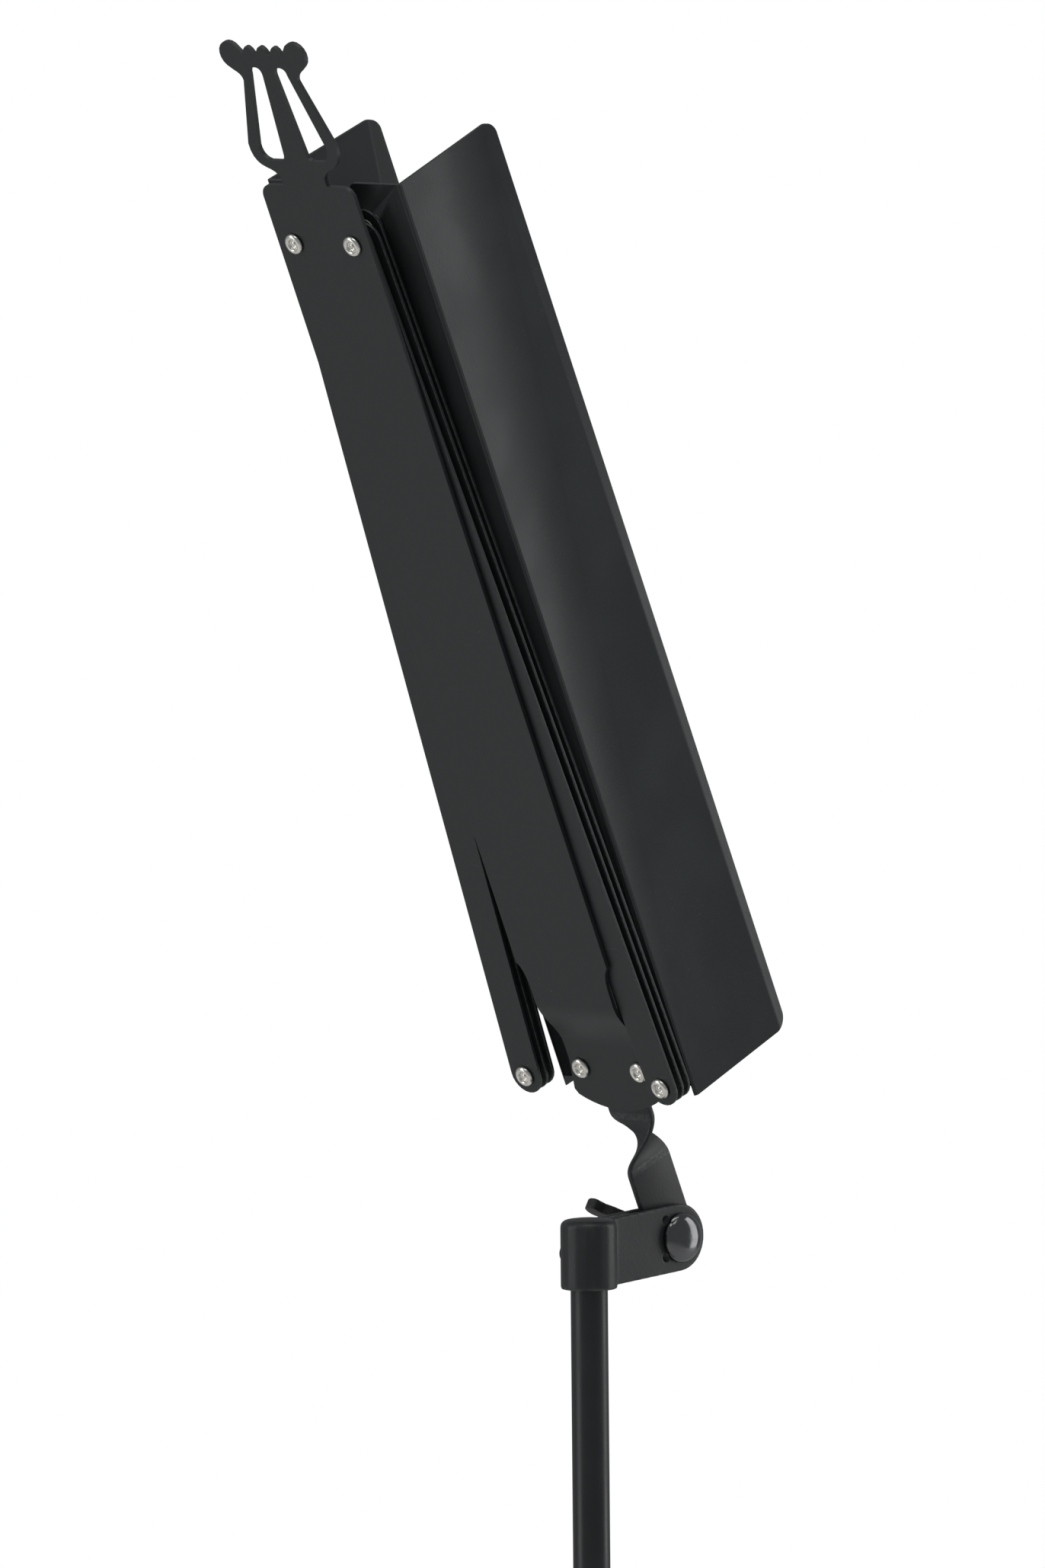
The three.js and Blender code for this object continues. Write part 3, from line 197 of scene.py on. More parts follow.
def spin_profile(bm, points, segments, closed=False):
    """Spins (radius, height) points, in metres, about +Z into a closed body."""
    verts = [bm.verts.new((r, 0, h)) for r, h in points]
    edges = [bm.edges.new(pair) for pair in zip(verts, verts[1:])]
    if closed:
        edges.append(bm.edges.new((verts[-1], verts[0])))
    bmesh.ops.spin(
        bm, geom=verts + edges, cent=(0, 0, 0), axis=(0, 0, 1),
        angle=2 * math.pi, steps=segments, use_merge=True,
    )
    bmesh.ops.remove_doubles(bm, verts=bm.verts, dist=1e-6)
    bmesh.ops.recalc_face_normals(bm, faces=bm.faces)


def measure(node, axis):
    """A round CAD node's axis point and its lowest and highest place along the axis."""
    axis = Vector(axis).normalized()
    side = axis.orthogonal().normalized()
    other = axis.cross(side)
    corners = [v.co for v in frame["nodes"][node].data.vertices]
    spans = []
    for direction in (axis, side, other):
        values = [c.dot(direction) for c in corners]
        spans.append((min(values), max(values)))
    middle = side * sum(spans[1]) / 2 + other * sum(spans[2]) / 2
    return middle, spans[0][0], spans[0][1]


def turned(node, axis, profile, material, segments=TURNED_SEGMENTS, closed=False, turn=0.0):
    """A lathe-turned piece in its CAD node's place. profile(low, high) gives its points along axis."""
    middle, low, high = measure(node, axis)
    bm = bmesh.new()
    spin_profile(bm, profile(low, high), segments, closed)
    upright = Vector(axis).to_track_quat("Z", "Y").to_matrix().to_4x4()
    bmesh.ops.transform(bm, matrix=Matrix.Translation(middle) @ upright @ Matrix.Rotation(turn, 4, "Z"), verts=bm.verts)
    return add_piece(f"{node}_turned", bm, node, material)


def tubular_head(low):
    """A tubular rivet's head, outside first: small dome in a recess, rolled ring, flat underside."""
    ring = [
        (0.0, 0.34), (0.42, 0.36), (0.66, 0.52), (0.84, 0.74), (1.06, 0.78), (1.28, 0.66),
        (1.44, 0.30), (1.68, 0.06), (2.10, 0.0), (2.50, 0.12), (2.78, 0.42), (2.9, 0.78),
    ]
    return [(r * MM, low + h * MM) for r, h in smooth_profile(ring, 3)] + [(2.86 * MM, low + 1.0 * MM)]


def rivet_profile(low, high):
    """Head at the low end, plain shank, rolled flare with a shallow bore at the high end."""
    flare = [(2.6, -0.5), (2.58, -0.28), (2.2, -0.04), (1.8, 0.0), (1.35, -0.14), (1.15, -0.34), (0.0, -0.38)]
    return (
        tubular_head(low)
        + [(1.9 * MM, low + 1.0 * MM), (1.9 * MM, high - 0.5 * MM)]
        + [(r * MM, high + h * MM) for r, h in smooth_profile(flare, 3)]
    )


def make_shouldered_rivet(side, material):
    """The rivet at an arm's outer end: two shoulders hold its three slats apart."""
    gap = 0.28 * MM
    _, arm_back, arm_front = measure(f"upper_arm_{side}", DESK_FRONT)
    _, page_back, page_front = measure(f"page_slat_{side}", DESK_FRONT)
    _, side_back, _ = measure(f"side_slat_{side}", DESK_FRONT)

    def profile(low, high):
        points = tubular_head(low) + [(1.9 * MM, low + 1.0 * MM)]
        for start, end in ((arm_front + gap, page_back - gap), (page_front + gap, side_back - gap)):
            points += [(1.9 * MM, start), (3.2 * MM, start), (3.3 * MM, start + 0.1 * MM)]
            points += [(3.3 * MM, end - 0.1 * MM), (3.2 * MM, end), (1.9 * MM, end)]
        flare = [(2.6, -0.5), (2.5, -0.2), (2.0, 0.0), (1.3, -0.1), (0.0, -0.2)]
        return points + [(1.9 * MM, high - 0.5 * MM)] + [(r * MM, high + h * MM) for r, h in smooth_profile(flare, 3)]

    return turned(f"arm_end_rivet_{side}", DESK_FRONT, profile, material)


def half_rivet(head_low, head_radius, head_height):
    """One half of an open pivot's rivet: a domed head on a short shank."""
    def profile(low, high):
        dome = [(0.0, 0.0), (0.35, 0.05), (0.7, 0.25), (0.93, 0.6), (1.0, 1.0)]
        height = head_height * MM
        radius = head_radius * MM
        shank = 1.9 * MM
        if head_low:
            head = [(r * radius, low + h * height) for r, h in smooth_profile(dome, 3)]
            return head + [(shank, low + height), (shank, high - 0.15 * MM), (shank * 0.9, high), (0.0, high)]
        head = [(r * radius, high - h * height) for r, h in smooth_profile(dome, 3)]
        return head + [(shank, high - height), (shank, low + 0.15 * MM), (shank * 0.9, low), (0.0, low)]
    return profile


def ledge_end_profile(low, high):
    """The ledge's half of the open pivot: a wide shoulder behind the web, a flare in front of it."""
    shoulder_end = low + 1.44 * MM
    flare = [(2.6, -0.5), (2.5, -0.2), (2.0, 0.0), (1.3, -0.12), (0.0, -0.2)]
    return [
        (0.0, low), (3.15 * MM, low), (3.3 * MM, low + 0.15 * MM), (3.3 * MM, shoulder_end - 0.1 * MM),
        (3.2 * MM, shoulder_end), (1.9 * MM, shoulder_end), (1.9 * MM, high - 0.5 * MM),
    ] + [(r * MM, high + h * MM) for r, h in smooth_profile(flare, 3)]


def pin_profile(low, high):
    """A tripod pin with a domed head at both ends."""
    head = 1.1 * MM
    dome = [(0.0, 0.0), (1.2, 0.04), (2.3, 0.24), (3.1, 0.62), (3.4, 1.0)]
    shape = smooth_profile(dome, 3)
    start = [(r * MM, low + h * head) for r, h in shape]
    end = [(r * MM, high - h * head) for r, h in reversed(shape)]
    return start + [(2.0 * MM, low + head), (2.0 * MM, high - head)] + end


def bolt_profile(low, high):
    """The tilt bolt: a mushroom head, a plain shank and a chamfered end."""
    head = [(0.0, 0.0), (1.6, 0.05), (3.4, 0.3), (5.0, 0.86), (6.1, 1.66), (6.62, 2.5), (6.7, 2.95)]
    return [(r * MM, low + h * MM) for r, h in smooth_profile(head, 5)] + [
        (6.6 * MM, low + 3.2 * MM), (2.5 * MM, low + 3.2 * MM), (2.5 * MM, high - 0.5 * MM), (2.0 * MM, high), (0.0, high),
    ]


def cap_rivet_profile(low, high):
    dome = [(2.9, -1.3), (2.85, -1.0), (2.4, -0.5), (1.5, -0.12), (0.7, -0.02), (0.0, 0.0)]
    return [(0.0, low), (1.9 * MM, low), (1.9 * MM, high - 1.3 * MM)] + [
        (r * MM, high + h * MM) for r, h in smooth_profile(dome, 4)
    ]


def ring_profile(inner, outer, edge):
    """A closed ring section with small round edges, such as a washer, spacer or tube end."""
    def profile(low, high):
        return [
            (inner, low + edge), (inner + edge, low), (outer - edge, low), (outer, low + edge),
            (outer, high - edge), (outer - edge, high), (inner + edge, high), (inner, high - edge),
        ]
    return profile


def tube(node, wall, material):
    """A drawn tube with a clean, slightly rounded mouth."""
    low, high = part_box(node)
    outer = (high.x - low.x) / 2
    return turned(node, (0, 0, 1), ring_profile(outer - wall, outer, 0.2 * MM), material, TUBE_SEGMENTS, True)


def plug_profile(low, high):
    lip = 2.5 * MM
    outer = 9.5 * MM
    inner = 8.22 * MM
    return [
        (0.0, low + 0.5 * MM), (4.0 * MM, low + 0.3 * MM), (outer - 1.6 * MM, low), (outer - 0.4 * MM, low + 0.5 * MM),
        (outer, low + 1.2 * MM), (outer, low + lip), (inner, low + lip), (inner, high - 0.6 * MM),
        (inner - 0.6 * MM, high), (0.0, high),
    ]


def baked(piece):
    """Replaces a piece's mesh with what its modifiers make."""
    graph = bpy.context.evaluated_depsgraph_get()
    bm = bmesh.new()
    bm.from_object(piece, graph)
    piece.modifiers.clear()
    return bm


def moulded(node, voxel, rounds, material, shape_more=None):
    """A formed or moulded piece: one skin over the CAD shape, its corners softened."""
    bm = merged_copy(node)
    mesh = bpy.data.meshes.new("moulding")
    bm.to_mesh(mesh)
    bm.free()
    blank = bpy.data.objects.new("moulding", mesh)
    bpy.context.scene.collection.objects.link(blank)
    skin = blank.modifiers.new("skin", "REMESH")
    skin.mode = "VOXEL"
    skin.voxel_size = voxel
    bm = baked(blank)
    bpy.data.objects.remove(blank)
    for _ in range(rounds):
        bmesh.ops.smooth_vert(
            bm, verts=bm.verts, factor=0.5, use_axis_x=True, use_axis_y=True, use_axis_z=True
        )
    if shape_more:
        shape_more(bm)
    # convex corners are marked as edge, where the material paints a lighter highlight
    mark = bm.verts.layers.float.new("edge")
    bm.normal_update()
    for vert in bm.verts:
        bend = sum(e.calc_face_angle_signed(0) for e in vert.link_edges) / len(vert.link_edges)
        vert[mark] = min(1.0, max(0.0, bend * 6.0))
    piece = add_piece(f"{node}_moulded", bm, node, material)
    return piece


def press_dimples(bm):
    """Two small stamped dimples beside the bolt head, on the cheek's outer face."""
    radius = 1.3 * MM
    face = min(v.co.x for v in bm.verts if (v.co - TILT_PIVOT).length < 12 * MM)
    for up in (-5.0, 5.0):
        centre = TILT_PIVOT + Vector((0, 5.6 * MM, up * MM))
        for vert in bm.verts:
            away = math.hypot(vert.co.y - centre.y, vert.co.z - centre.z)
            if away < radius and abs(vert.co.x - face) < 0.8 * MM:
                vert.co.x += 0.9 * MM * (1 - (away / radius) ** 2)


def make_strap(material):
    """The strap: a tongue on the plate's foot, then a quarter twist down to a round eye."""
    node = "tilt_strap"
    thick = 0.9 * MM
    wide = 7.9 * MM
    tongue = 6.4 * MM
    tongue_top, shoulder = 9.0 * MM, -6.0 * MM
    twist_start, twist_length = -14.0 * MM, 16.2 * MM
    drop = 51.9 * MM
    corner = 2.0 * MM

    def half_width(t):
        if t > tongue_top - corner:
            rise = t - (tongue_top - corner)
            return tongue - corner + math.sqrt(max(0.0, corner ** 2 - rise ** 2))
        if t > shoulder + 1.5 * MM:
            return tongue
        if t > shoulder:
            k = (shoulder + 1.5 * MM - t) / (1.5 * MM)
            return tongue + (wide - tongue) * k * k * (3 - 2 * k)
        if t > -drop:
            return wide
        return math.sqrt(max(0.0, wide ** 2 - (t + drop) ** 2)) + 0.02 * MM

    def steps(start, end, count):
        return [start + (end - start) * i / count for i in range(1, count + 1)]

    stations = [tongue_top - corner * (1 - math.cos(math.radians(a))) for a in (8, 25, 45, 65, 90)]
    stations += steps(stations[-1], shoulder + 1.5 * MM, 3) + steps(shoulder + 1.5 * MM, shoulder, 4)
    stations += steps(shoulder, twist_start, 3) + steps(twist_start, twist_start - twist_length, 40)
    stations += steps(twist_start - twist_length, -drop, 4)
    stations += [-drop - wide * math.sin(math.radians(a)) for a in (12, 24, 36, 48, 60, 70, 78, 84, 88)]

    def placed(t):
        s = min(1.0, max(0.0, (twist_start - t) / twist_length))
        angle = math.pi / 2 * s * s * (3 - 2 * s)
        return (
            Matrix.Translation((0, 0, t))
            @ Matrix.Rotation(-angle, 4, "Z")
            @ Matrix.Diagonal((half_width(t) / wide, 1, 1, 1))
        )

    bm = bmesh.new()
    bmesh.ops.create_grid(bm, x_segments=1, y_segments=1, size=1.0)
    bmesh.ops.scale(bm, vec=(wide, thick, 1), verts=bm.verts)
    bmesh.ops.bevel(
        bm, geom=list(bm.verts), offset=0.5 * MM, offset_type="OFFSET", segments=3,
        profile=0.5, affect="VERTICES", clamp_overlap=True, material=-1,
    )
    bmesh.ops.transform(bm, matrix=placed(stations[0]), verts=bm.verts)
    tip = bm.faces[:][0]
    for before, after in zip(stations, stations[1:]):
        made = bmesh.ops.extrude_face_region(bm, geom=[tip])["geom"]
        tip = next(item for item in made if isinstance(item, bmesh.types.BMFace))
        moved = [item for item in made if isinstance(item, bmesh.types.BMVert)]
        bmesh.ops.transform(bm, matrix=placed(after) @ placed(before).inverted(), verts=moved)
    bmesh.ops.recalc_face_normals(bm, faces=bm.faces)
    # narrow edge faces are marked as edge, where the material paints a lighter highlight
    mark = bm.faces.layers.float.new("edge")
    for face in bm.faces:
        narrow = min(e.calc_length() for e in face.edges)
        face[mark] = 1.0 if narrow < 0.45 * MM else 0.0
    home = TILT_PIVOT + DESK_UP * drop
    turn = Matrix((ACROSS, -DESK_FRONT, DESK_UP)).transposed().to_4x4()
    bmesh.ops.transform(bm, matrix=Matrix.Translation(home) @ turn, verts=bm.verts)
    piece = add_piece("tilt_strap_twisted", bm, node, material)
    eye = round_cutter(TILT_PIVOT, (1, 0, 0), 2.8 * MM, 30 * MM)
    cut = piece.modifiers.new("eye", "BOOLEAN")
    cut.object = eye
    cut.operation = "DIFFERENCE"
    cut.solver = "EXACT"
    bpy.context.view_layer.update()
    bm = baked(piece)
    bm.to_mesh(piece.data)
    bm.free()
    piece.data.set_sharp_from_angle(angle=SHARP_ANGLE)
    bpy.data.objects.remove(eye)
    return piece


def round_cutter(centre, axis, radius, length):
    """A plain round tool for a cut; it is removed once used."""
    bm = bmesh.new()
    bmesh.ops.create_cone(bm, cap_ends=True, segments=48, radius1=radius, radius2=radius, depth=length)
    upright = Vector(axis).to_track_quat("Z", "Y").to_matrix().to_4x4()
    bmesh.ops.transform(bm, matrix=Matrix.Translation(centre) @ upright, verts=bm.verts)
    mesh = bpy.data.meshes.new("cutter")
    bm.to_mesh(mesh)
    bm.free()
    tool = bpy.data.objects.new("cutter", mesh)
    bpy.context.scene.collection.objects.link(tool)
    return tool


# ---- shared node groups ----

class Wiring:
    """Short calls for placing and linking shader nodes in one tree."""

    def __init__(self, tree):
        self.tree = tree

    def node(self, kind, **values):
        made = self.tree.nodes.new(kind)
        for key, value in values.items():
            setattr(made, key, value)
        return made

    def link(self, source, target):
        self.tree.links.new(source, target)

    def math(self, operation, a, b=None, clamp=False):
        made = self.node("ShaderNodeMath", operation=operation, use_clamp=clamp)
        for socket, value in zip(made.inputs, (a, b)):
            self.set(socket, value)
        return made.outputs[0]

    def set(self, socket, value):
        if value is None:
            return
        if isinstance(value, bpy.types.NodeSocket):
            self.link(value, socket)
        else:
            socket.default_value = value

    def noise(self, vector, scale, detail=3.0, rough=0.5):
        made = self.node("ShaderNodeTexNoise")
        self.set(made.inputs["Vector"], vector)
        self.set(made.inputs["Scale"], scale)
        made.inputs["Detail"].default_value = detail
        made.inputs["Roughness"].default_value = rough
        return made.outputs["Fac"]

    def range(self, value, low, high, to_low=0.0, to_high=1.0, smooth=True):
        made = self.node("ShaderNodeMapRange", clamp=True)
        made.interpolation_type = "SMOOTHSTEP" if smooth else "LINEAR"
        self.link(value, made.inputs["Value"])
        for name, number in (("From Min", low), ("From Max", high), ("To Min", to_low), ("To Max", to_high)):
            self.set(made.inputs[name], number)
        return made.outputs["Result"]

    def mix(self, factor, a, b):
        made = self.node("ShaderNodeMix", data_type="RGBA")
        self.set(made.inputs["Factor"], factor)
        self.set(made.inputs["A"], a)
        self.set(made.inputs["B"], b)
        return made.outputs["Result"]

    def coordinates(self):
        return self.node("ShaderNodeTexCoord").outputs["Object"]


def new_group(name, inputs, outputs):
    """An empty shader group with named sockets, and its two end nodes."""
    group = bpy.data.node_groups.new(name, "ShaderNodeTree")
    for label, kind, value in inputs:
        socket = group.interface.new_socket(name=label, in_out="INPUT", socket_type=kind)
        if value is not None:
            socket.default_value = value
    for label, kind in outputs:
        group.interface.new_socket(name=label, in_out="OUTPUT", socket_type=kind)
    wires = Wiring(group)
    return group, wires, wires.node("NodeGroupInput").outputs, wires.node("NodeGroupOutput").inputs


FLOAT = "NodeSocketFloat"
COLOR = "NodeSocketColor"
VECTOR = "NodeSocketVector"


def powder_grain_group():
    """The fine pebbled skin of a baked powder coat over a slow waviness."""
    group, w, given, out = new_group(
        "powder_grain",
        [("Grain Scale", FLOAT, 1500.0), ("Wave Scale", FLOAT, 60.0), ("Wave Share", FLOAT, 0.3)],
        [("Height", FLOAT), ("Mottle", FLOAT)],
    )
    place = w.coordinates()
    fine = w.noise(place, given["Grain Scale"], 2.0, 0.5)
    slow = w.noise(place, given["Wave Scale"], 2.0, 0.4)
    height = w.math("ADD", fine, w.math("MULTIPLY", slow, given["Wave Share"]))
    w.link(height, out["Height"])
    w.link(w.range(slow, 0.3, 0.7), out["Mottle"])
    return group


def edge_highlight_and_wear_group():
    """How thin the coat is, and where a lighter colour is painted on as a highlight: full on a marked edge, broken up
    by a coarse noise.
    """
    group, w, given, out = new_group(
        "edge_highlight_and_wear",
        [("Break Up", FLOAT, 900.0), ("Amount", FLOAT, 0.6)],
        [("Edge", FLOAT), ("Worn", FLOAT)],
    )
    mark = w.node("ShaderNodeAttribute", attribute_name="edge").outputs["Fac"]
    patches = w.range(w.noise(w.coordinates(), given["Break Up"], 3.0), 0.35, 0.65)
    rare = w.range(w.noise(w.coordinates(), 130.0, 3.0), 0.56, 0.7)
    # Edge: mask for the painted edge highlight and the thinner, shinier coat; Worn: rare real worn spots on the edge
    w.link(w.math("MULTIPLY", mark, w.math("MULTIPLY", patches, given["Amount"])), out["Edge"])
    w.link(w.math("MULTIPLY", mark, rare), out["Worn"])
    return group


def handling_marks_group():
    """Sparse dust specks and hairline rubs from handling."""
    group, w, given, out = new_group(
        "handling_marks",
        [("Speck Scale", FLOAT, 260.0), ("Speck Size", FLOAT, 0.05), ("Rub Scale", FLOAT, 70.0)],
        [("Specks", FLOAT), ("Rubs", FLOAT)],
    )
    place = w.coordinates()
    cells = w.node("ShaderNodeTexVoronoi", feature="F1")
    w.link(place, cells.inputs["Vector"])
    w.link(given["Speck Scale"], cells.inputs["Scale"])
    dot = w.math("LESS_THAN", cells.outputs["Distance"], given["Speck Size"])
    chosen = w.range(w.noise(place, 40.0, 2.0), 0.62, 0.66)
    w.link(w.math("MULTIPLY", dot, chosen), out["Specks"])
    stretch = w.node("ShaderNodeMapping")
    stretch.inputs["Rotation"].default_value = (0.41, 0.2, 0.9)
    stretch.inputs["Scale"].default_value = (1.0, 14.0, 14.0)
    w.link(place, stretch.inputs["Vector"])
    streaks = w.noise(stretch.outputs["Vector"], given["Rub Scale"], 4.0, 0.6)
    patch = w.range(w.noise(place, 22.0, 2.0), 0.5, 0.68)
    w.link(w.math("MULTIPLY", w.range(streaks, 0.62, 0.72), patch), out["Rubs"])
    return group


def turned_lines_group():
    """Fine tool lines and small stains on a turned or plated metal part."""
    group, w, given, out = new_group(
        "turned_lines",
        [("Line Scale", FLOAT, 5000.0), ("Stain Scale", FLOAT, 700.0)],
        [("Height", FLOAT), ("Stain", FLOAT)],
    )
    place = w.coordinates()
    w.link(w.noise(place, given["Line Scale"], 2.0), out["Height"])
    w.link(w.range(w.noise(place, given["Stain Scale"], 4.0, 0.6), 0.45, 0.75), out["Stain"])
    return group


GROUPS = {
    "grain": powder_grain_group(),
    "edges": edge_highlight_and_wear_group(),
    "marks": handling_marks_group(),
    "lines": turned_lines_group(),
}


def new_material(name):
    material = bpy.data.materials.new(name)
    material.use_nodes = True
    material.node_tree.nodes.clear()
    w = Wiring(material.node_tree)
    shader = w.node("ShaderNodeBsdfPrincipled")
    end = w.node("ShaderNodeOutputMaterial")
    w.link(shader.outputs["BSDF"], end.inputs["Surface"])
    return material, w, shader.inputs


def place_group(w, key, **values):
    made = w.node("ShaderNodeGroup", node_tree=GROUPS[key])
    for label, value in values.items():
        made.inputs[label.replace("_", " ")].default_value = value
    return made.outputs


def bump(w, height, distance, strength=1.0):
    made = w.node("ShaderNodeBump")
    made.inputs["Distance"].default_value = distance
    made.inputs["Strength"].default_value = strength
    w.link(height, made.inputs["Height"])
    return made.outputs["Normal"]


def powder_coat(name, colour, highlight_and_rub_colour, roughness, grain, depth):
    """Satin black powder coat: cool grey-black, pebbled skin, a painted highlight on its thin edges, faint rubs."""
    material, w, sockets = new_material(name)
    skin = place_group(w, "grain", Grain_Scale=grain, Wave_Scale=55.0, Wave_Share=0.5)
    edges = place_group(w, "edges", Break_Up=1100.0, Amount=0.75)
    marks = place_group(w, "marks", Speck_Scale=240.0, Speck_Size=0.045, Rub_Scale=75.0)
    base = w.mix(skin["Mottle"], colour, [c * 1.14 for c in colour[:3]] + [1.0])
    # painted highlight: marked edges are mixed towards the lighter colour
    base = w.mix(edges["Edge"], base, highlight_and_rub_colour)
    base = w.mix(w.math("MULTIPLY", marks["Rubs"], 0.35), base, highlight_and_rub_colour)
    base = w.mix(w.math("MULTIPLY", marks["Specks"], 0.5), base, (0.16, 0.16, 0.155, 1))
    base = w.mix(w.math("MULTIPLY", edges["Worn"], 0.4), base, (0.10, 0.10, 0.10, 1))
    w.link(base, sockets["Base Color"])
    rough = w.math("ADD", roughness - 0.04, w.math("MULTIPLY", skin["Mottle"], 0.08))
    rough = w.math("SUBTRACT", rough, w.math("MULTIPLY", edges["Edge"], 0.14))
    rough = w.math("ADD", rough, w.math("MULTIPLY", marks["Rubs"], 0.12), clamp=True)
    w.link(rough, sockets["Roughness"])
    w.link(bump(w, skin["Height"], depth), sockets["Normal"])
    sockets["Specular IOR Level"].default_value = 0.42
    return material


def plated_metal(name, colour, stained, roughness, spread):
    """Bright plated steel with fine tool lines and a little tarnish."""
    material, w, sockets = new_material(name)
    lines = place_group(w, "lines", Line_Scale=5200.0, Stain_Scale=650.0)
    w.link(w.mix(w.math("MULTIPLY", lines["Stain"], 0.6), colour, stained), sockets["Base Color"])
    w.link(w.math("ADD", roughness, w.math("MULTIPLY", lines["Stain"], spread)), sockets["Roughness"])
    w.link(bump(w, lines["Height"], 0.00001, 0.5), sockets["Normal"])
    sockets["Metallic"].default_value = 1.0
    return material


def moulded_plastic(name, colour, highlight_and_rub_colour, roughness, grain, depth):
    """Matt moulded black with a fine spark-eroded texture, a painted highlight on its marked edges, paler where it is
    rubbed.
    """
    material, w, sockets = new_material(name)
    skin = place_group(w, "grain", Grain_Scale=grain, Wave_Scale=90.0, Wave_Share=0.2)
    edges = place_group(w, "edges", Break_Up=700.0, Amount=0.8)
    marks = place_group(w, "marks", Speck_Scale=300.0, Speck_Size=0.05, Rub_Scale=110.0)
    base = w.mix(skin["Mottle"], colour, [c * 1.2 for c in colour[:3]] + [1.0])
    # painted highlight: marked edges are mixed towards the lighter colour
    base = w.mix(w.math("MULTIPLY", edges["Edge"], 0.6), base, highlight_and_rub_colour)
    base = w.mix(w.math("MULTIPLY", marks["Rubs"], 0.4), base, highlight_and_rub_colour)
    base = w.mix(w.math("MULTIPLY", marks["Specks"], 0.6), base, (0.2, 0.19, 0.18, 1))
    w.link(base, sockets["Base Color"])
    rough = w.math("ADD", roughness, w.math("MULTIPLY", skin["Mottle"], 0.1))
    w.link(w.math("SUBTRACT", rough, w.math("MULTIPLY", edges["Edge"], 0.1)), sockets["Roughness"])
    w.link(bump(w, skin["Height"], depth), sockets["Normal"])
    sockets["Specular IOR Level"].default_value = 0.4
    return material


# the second colour of each coat and plastic is the painted edge highlight, also used for real rubs
sheet_coat = powder_coat("sheet_powder_coat", (0.0185, 0.0215, 0.0225, 1), (0.075, 0.082, 0.085, 1), 0.44, 1500.0, 0.00003)
tube_coat = powder_coat("tube_powder_coat", (0.0165, 0.018, 0.019, 1), (0.042, 0.045, 0.047, 1), 0.36, 1700.0, 0.00002)
clamp_coat = powder_coat("clamp_powder_coat", (0.016, 0.0175, 0.0185, 1), (0.045, 0.048, 0.05, 1), 0.44, 1400.0, 0.00003)
nickel = plated_metal("rivet_nickel", (0.86, 0.84, 0.79, 1), (0.50, 0.46, 0.40, 1), 0.20, 0.16)
chrome = plated_metal("bolt_chrome", (0.15, 0.15, 0.155, 1), (0.12, 0.12, 0.12, 1), 0.10, 0.10)
knob_plastic = moulded_plastic("knob_plastic", (0.016, 0.016, 0.017, 1), (0.05, 0.05, 0.05, 1), 0.5, 2200.0, 0.00004)
foot_rubber = moulded_plastic("foot_rubber", (0.013, 0.013, 0.013, 1), (0.06, 0.058, 0.055, 1), 0.75, 900.0, 0.00008)


# ---- the stand ----

def make_desk():
    coated_sheet("centre_plate", sheet_coat)
    make_strap(clamp_coat)
    for side in SIDES:
        for node in (f"upper_arm_{side}", f"side_slat_{side}", f"page_slat_{side}"):
            coated_sheet(node, sheet_coat)
        folded_ledge(side, sheet_coat)
        turned(f"top_rivet_{side}", DESK_FRONT, rivet_profile, nickel)
        turned(f"bottom_rivet_{side}", DESK_FRONT, rivet_profile, nickel)
        turned(f"bottom_spacer_{side}", DESK_FRONT, ring_profile(2.2 * MM, 3.6 * MM, 0.15 * MM), nickel, closed=True)
        make_shouldered_rivet(side, nickel)
        turned(f"side_slat_rivet_{side}", DESK_FRONT, half_rivet(True, 2.6, 0.5), nickel)
        turned(f"ledge_end_rivet_{side}", DESK_FRONT, ledge_end_profile, nickel)


def make_clamp():
    moulded("clamp_head", 0.26 * MM, 24, clamp_coat, press_dimples)
    turned("tilt_bolt", (1, 0, 0), bolt_profile, chrome)
    turned("washer", (1, 0, 0), ring_profile(2.8 * MM, 6.0 * MM, 0.15 * MM), chrome, closed=True)
    turned("cap_rivet", (1, 0, 0), cap_rivet_profile, clamp_coat)
    moulded("wing_nut", 0.3 * MM, 5, knob_plastic)


def make_pole():
    tube("upper_tube", 0.8 * MM, tube_coat)
    tube("middle_tube", 1.0 * MM, tube_coat)
    tube("lower_tube", 1.0 * MM, tube_coat)
    turned("tube_end_plug", (0, 0, 1), plug_profile, knob_plastic)
    for stage in ("lower", "middle"):
        moulded(f"{stage}_lock_collar", 0.35 * MM, 4, knob_plastic)
        moulded(f"{stage}_thumb_screw", 0.35 * MM, 5, knob_plastic)


def make_tripod():
    moulded("tripod_collar", 0.45 * MM, 4, knob_plastic)
    moulded("tripod_hub", 0.45 * MM, 4, knob_plastic)
    moulded("tripod_thumb_screw", 0.35 * MM, 5, knob_plastic)
    for number in LEG_NUMBERS:
        coated_sheet(f"leg_{number}", sheet_coat, 0.4 * MM, 3)
        coated_sheet(f"brace_{number}", sheet_coat, 0.3 * MM, 3)
        moulded(f"foot_{number}", 0.5 * MM, 5, foot_rubber)
        axis = Vector(JOINTS[f"leg_{number}_fold"]["axis"])
        turned(f"collar_pin_{number}", axis, pin_profile, nickel)
        turned(f"hub_pin_{number}", axis, pin_profile, nickel)
        turned(f"leg_rivet_{number}", axis, half_rivet(*HALF_PIN_HEADS["leg"]), nickel)
        turned(f"brace_rivet_{number}", axis, half_rivet(*HALF_PIN_HEADS["brace"]), nickel)


HALF_PIN_HEADS = {"leg": (True, 3.4, 1.1), "brace": (False, 3.4, 1.1)}


# ---- studio ----

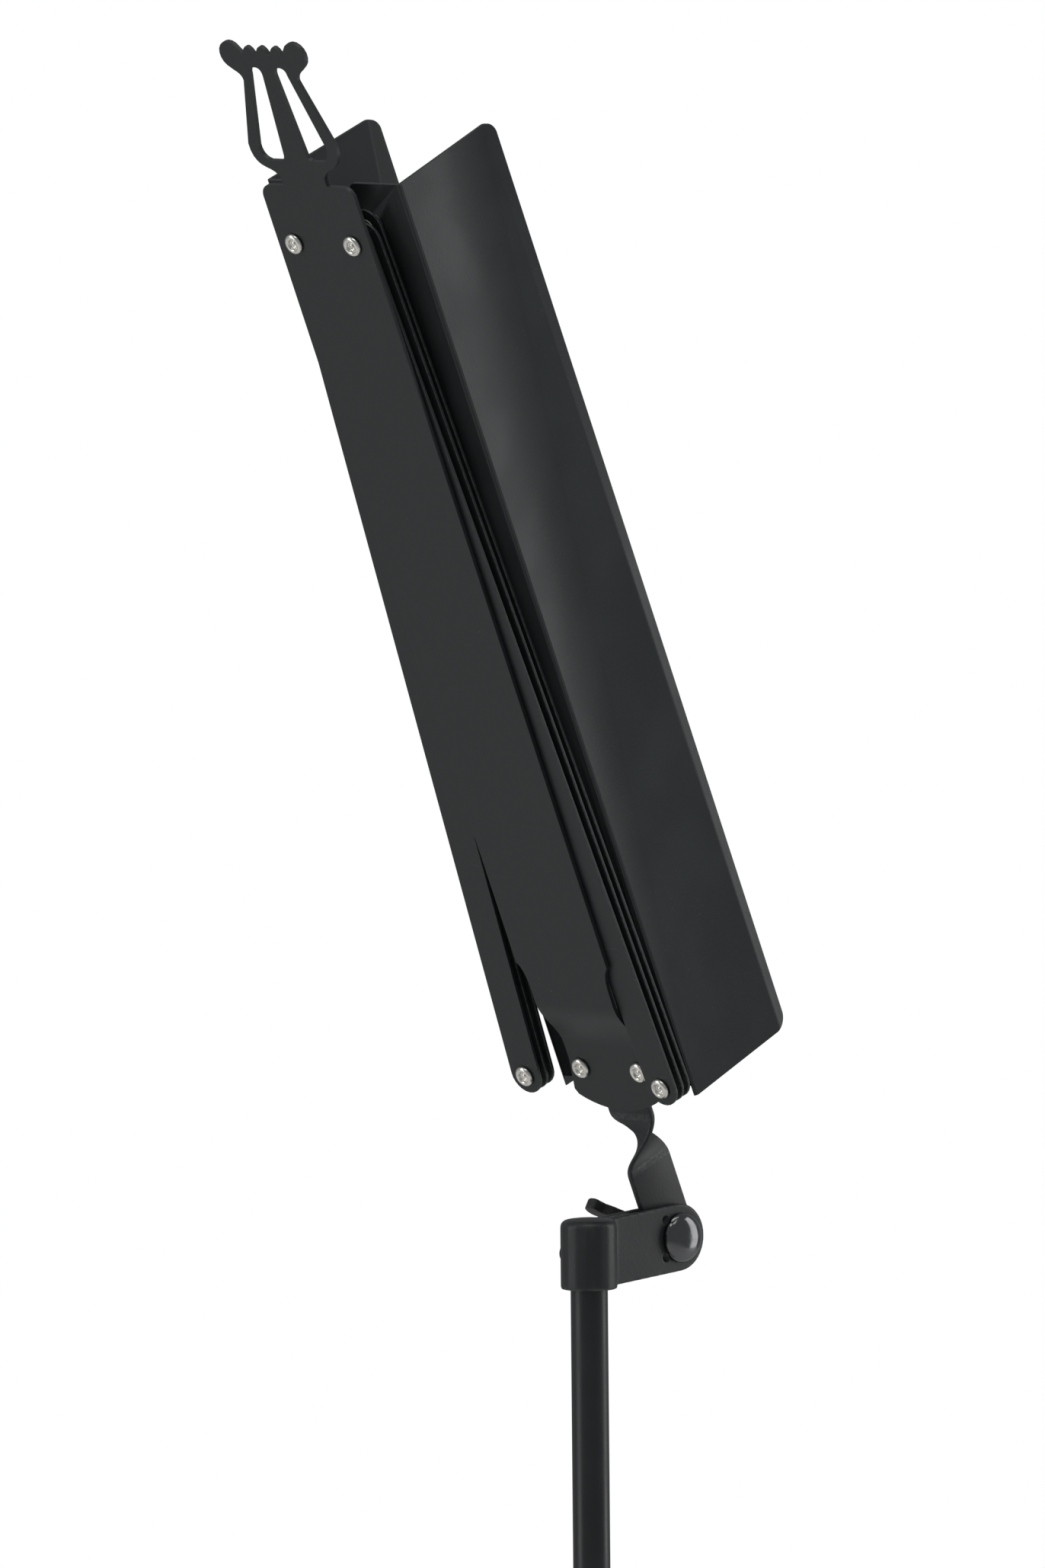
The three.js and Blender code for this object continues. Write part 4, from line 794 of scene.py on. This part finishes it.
def make_floor():
    bm = bmesh.new()
    bmesh.ops.create_circle(bm, cap_ends=True, segments=96, radius=5.0)
    bmesh.ops.translate(bm, vec=(0, 0, -0.0005), verts=bm.verts)
    mesh = bpy.data.meshes.new("studio_floor")
    bm.to_mesh(mesh)
    bm.free()
    floor = bpy.data.objects.new("studio_floor", mesh)
    bpy.context.scene.collection.objects.link(floor)
    material, w, sockets = new_material("pale_floor")
    sockets["Base Color"].default_value = (0.82, 0.82, 0.815, 1)
    sockets["Roughness"].default_value = 0.7
    mesh.materials.append(material)


def soft_light(name, place, aim, width, height, power, colour=(1, 1, 1)):
    data = bpy.data.lights.new(name, "AREA")
    data.shape = "RECTANGLE"
    data.size = width
    data.size_y = height
    data.energy = power
    data.color = colour
    light = bpy.data.objects.new(name, data)
    light.location = place
    light.rotation_euler = (Vector(aim) - Vector(place)).to_track_quat("-Z", "Y").to_euler()
    bpy.context.scene.collection.objects.link(light)


def around(azimuth, distance, height):
    """A place round the pole, by the azimuth that a camera there would have."""
    angle = math.radians(azimuth)
    return Vector((math.sin(angle) * distance, -math.cos(angle) * distance, height))


def make_lights():
    middle = (0, 0.08, 0.85)
    soft_light("left_softbox", around(150, 2.2, 1.3), middle, 0.9, 2.4, 13)
    soft_light("right_softbox", around(328, 2.2, 1.2), middle, 0.9, 2.4, 15)
    soft_light("top_softbox", around(225, 0.7, 3.0), middle, 1.8, 1.8, 22)
    world = bpy.data.worlds.new("studio")
    bpy.context.scene.world = world
    world.use_nodes = True
    w = Wiring(world.node_tree)
    world.node_tree.nodes.clear()
    seen = w.node("ShaderNodeBackground")
    seen.inputs["Color"].default_value = (1, 1, 1, 1)
    lit = w.node("ShaderNodeBackground")
    lit.inputs["Color"].default_value = (0.95, 0.98, 1.0, 1)
    lit.inputs["Strength"].default_value = 0.25
    choose = w.node("ShaderNodeMixShader")
    ray = w.node("ShaderNodeLightPath")
    end = w.node("ShaderNodeOutputWorld")
    w.link(ray.outputs["Is Camera Ray"], choose.inputs[0])
    w.link(lit.outputs[0], choose.inputs[1])
    w.link(seen.outputs[0], choose.inputs[2])
    w.link(choose.outputs[0], end.inputs["Surface"])
    view = bpy.context.scene.view_settings
    view.view_transform = "Standard"
    view.look = "None"


def make_camera():
    """Looks at the desk's back from behind and to one side, through a long lens."""
    azimuth, elevation, roll = (math.radians(a) for a in (225.3785, 4.3405, -0.5465))
    distance = 5.342
    across, rise = -0.009975, -0.00819
    lens_to_width = 26283.4 / 1372
    aim = TILT_PIVOT + Vector((0, 0.04085, 0.13265))
    back = Vector((
        math.sin(azimuth) * math.cos(elevation), -math.cos(azimuth) * math.cos(elevation), math.sin(elevation),
    ))
    level = Vector((0, 0, 1)).cross(back).normalized()
    above = back.cross(level)
    right = math.cos(roll) * level + math.sin(roll) * above
    up = -math.sin(roll) * level + math.cos(roll) * above
    data = bpy.data.cameras.new("camera")
    data.sensor_fit = "HORIZONTAL"
    data.sensor_width = 36.0
    data.lens = 36.0 * lens_to_width
    data.clip_end = 100
    camera = bpy.data.objects.new("camera", data)
    turn = Matrix((right, up, back)).transposed().to_4x4()
    camera.matrix_world = Matrix.Translation(aim + back * distance + right * across + up * rise) @ turn
    bpy.context.scene.collection.objects.link(camera)
    bpy.context.scene.camera = camera


make_camera()
make_desk()
make_clamp()
make_pole()
make_tripod()
make_floor()
make_lights()
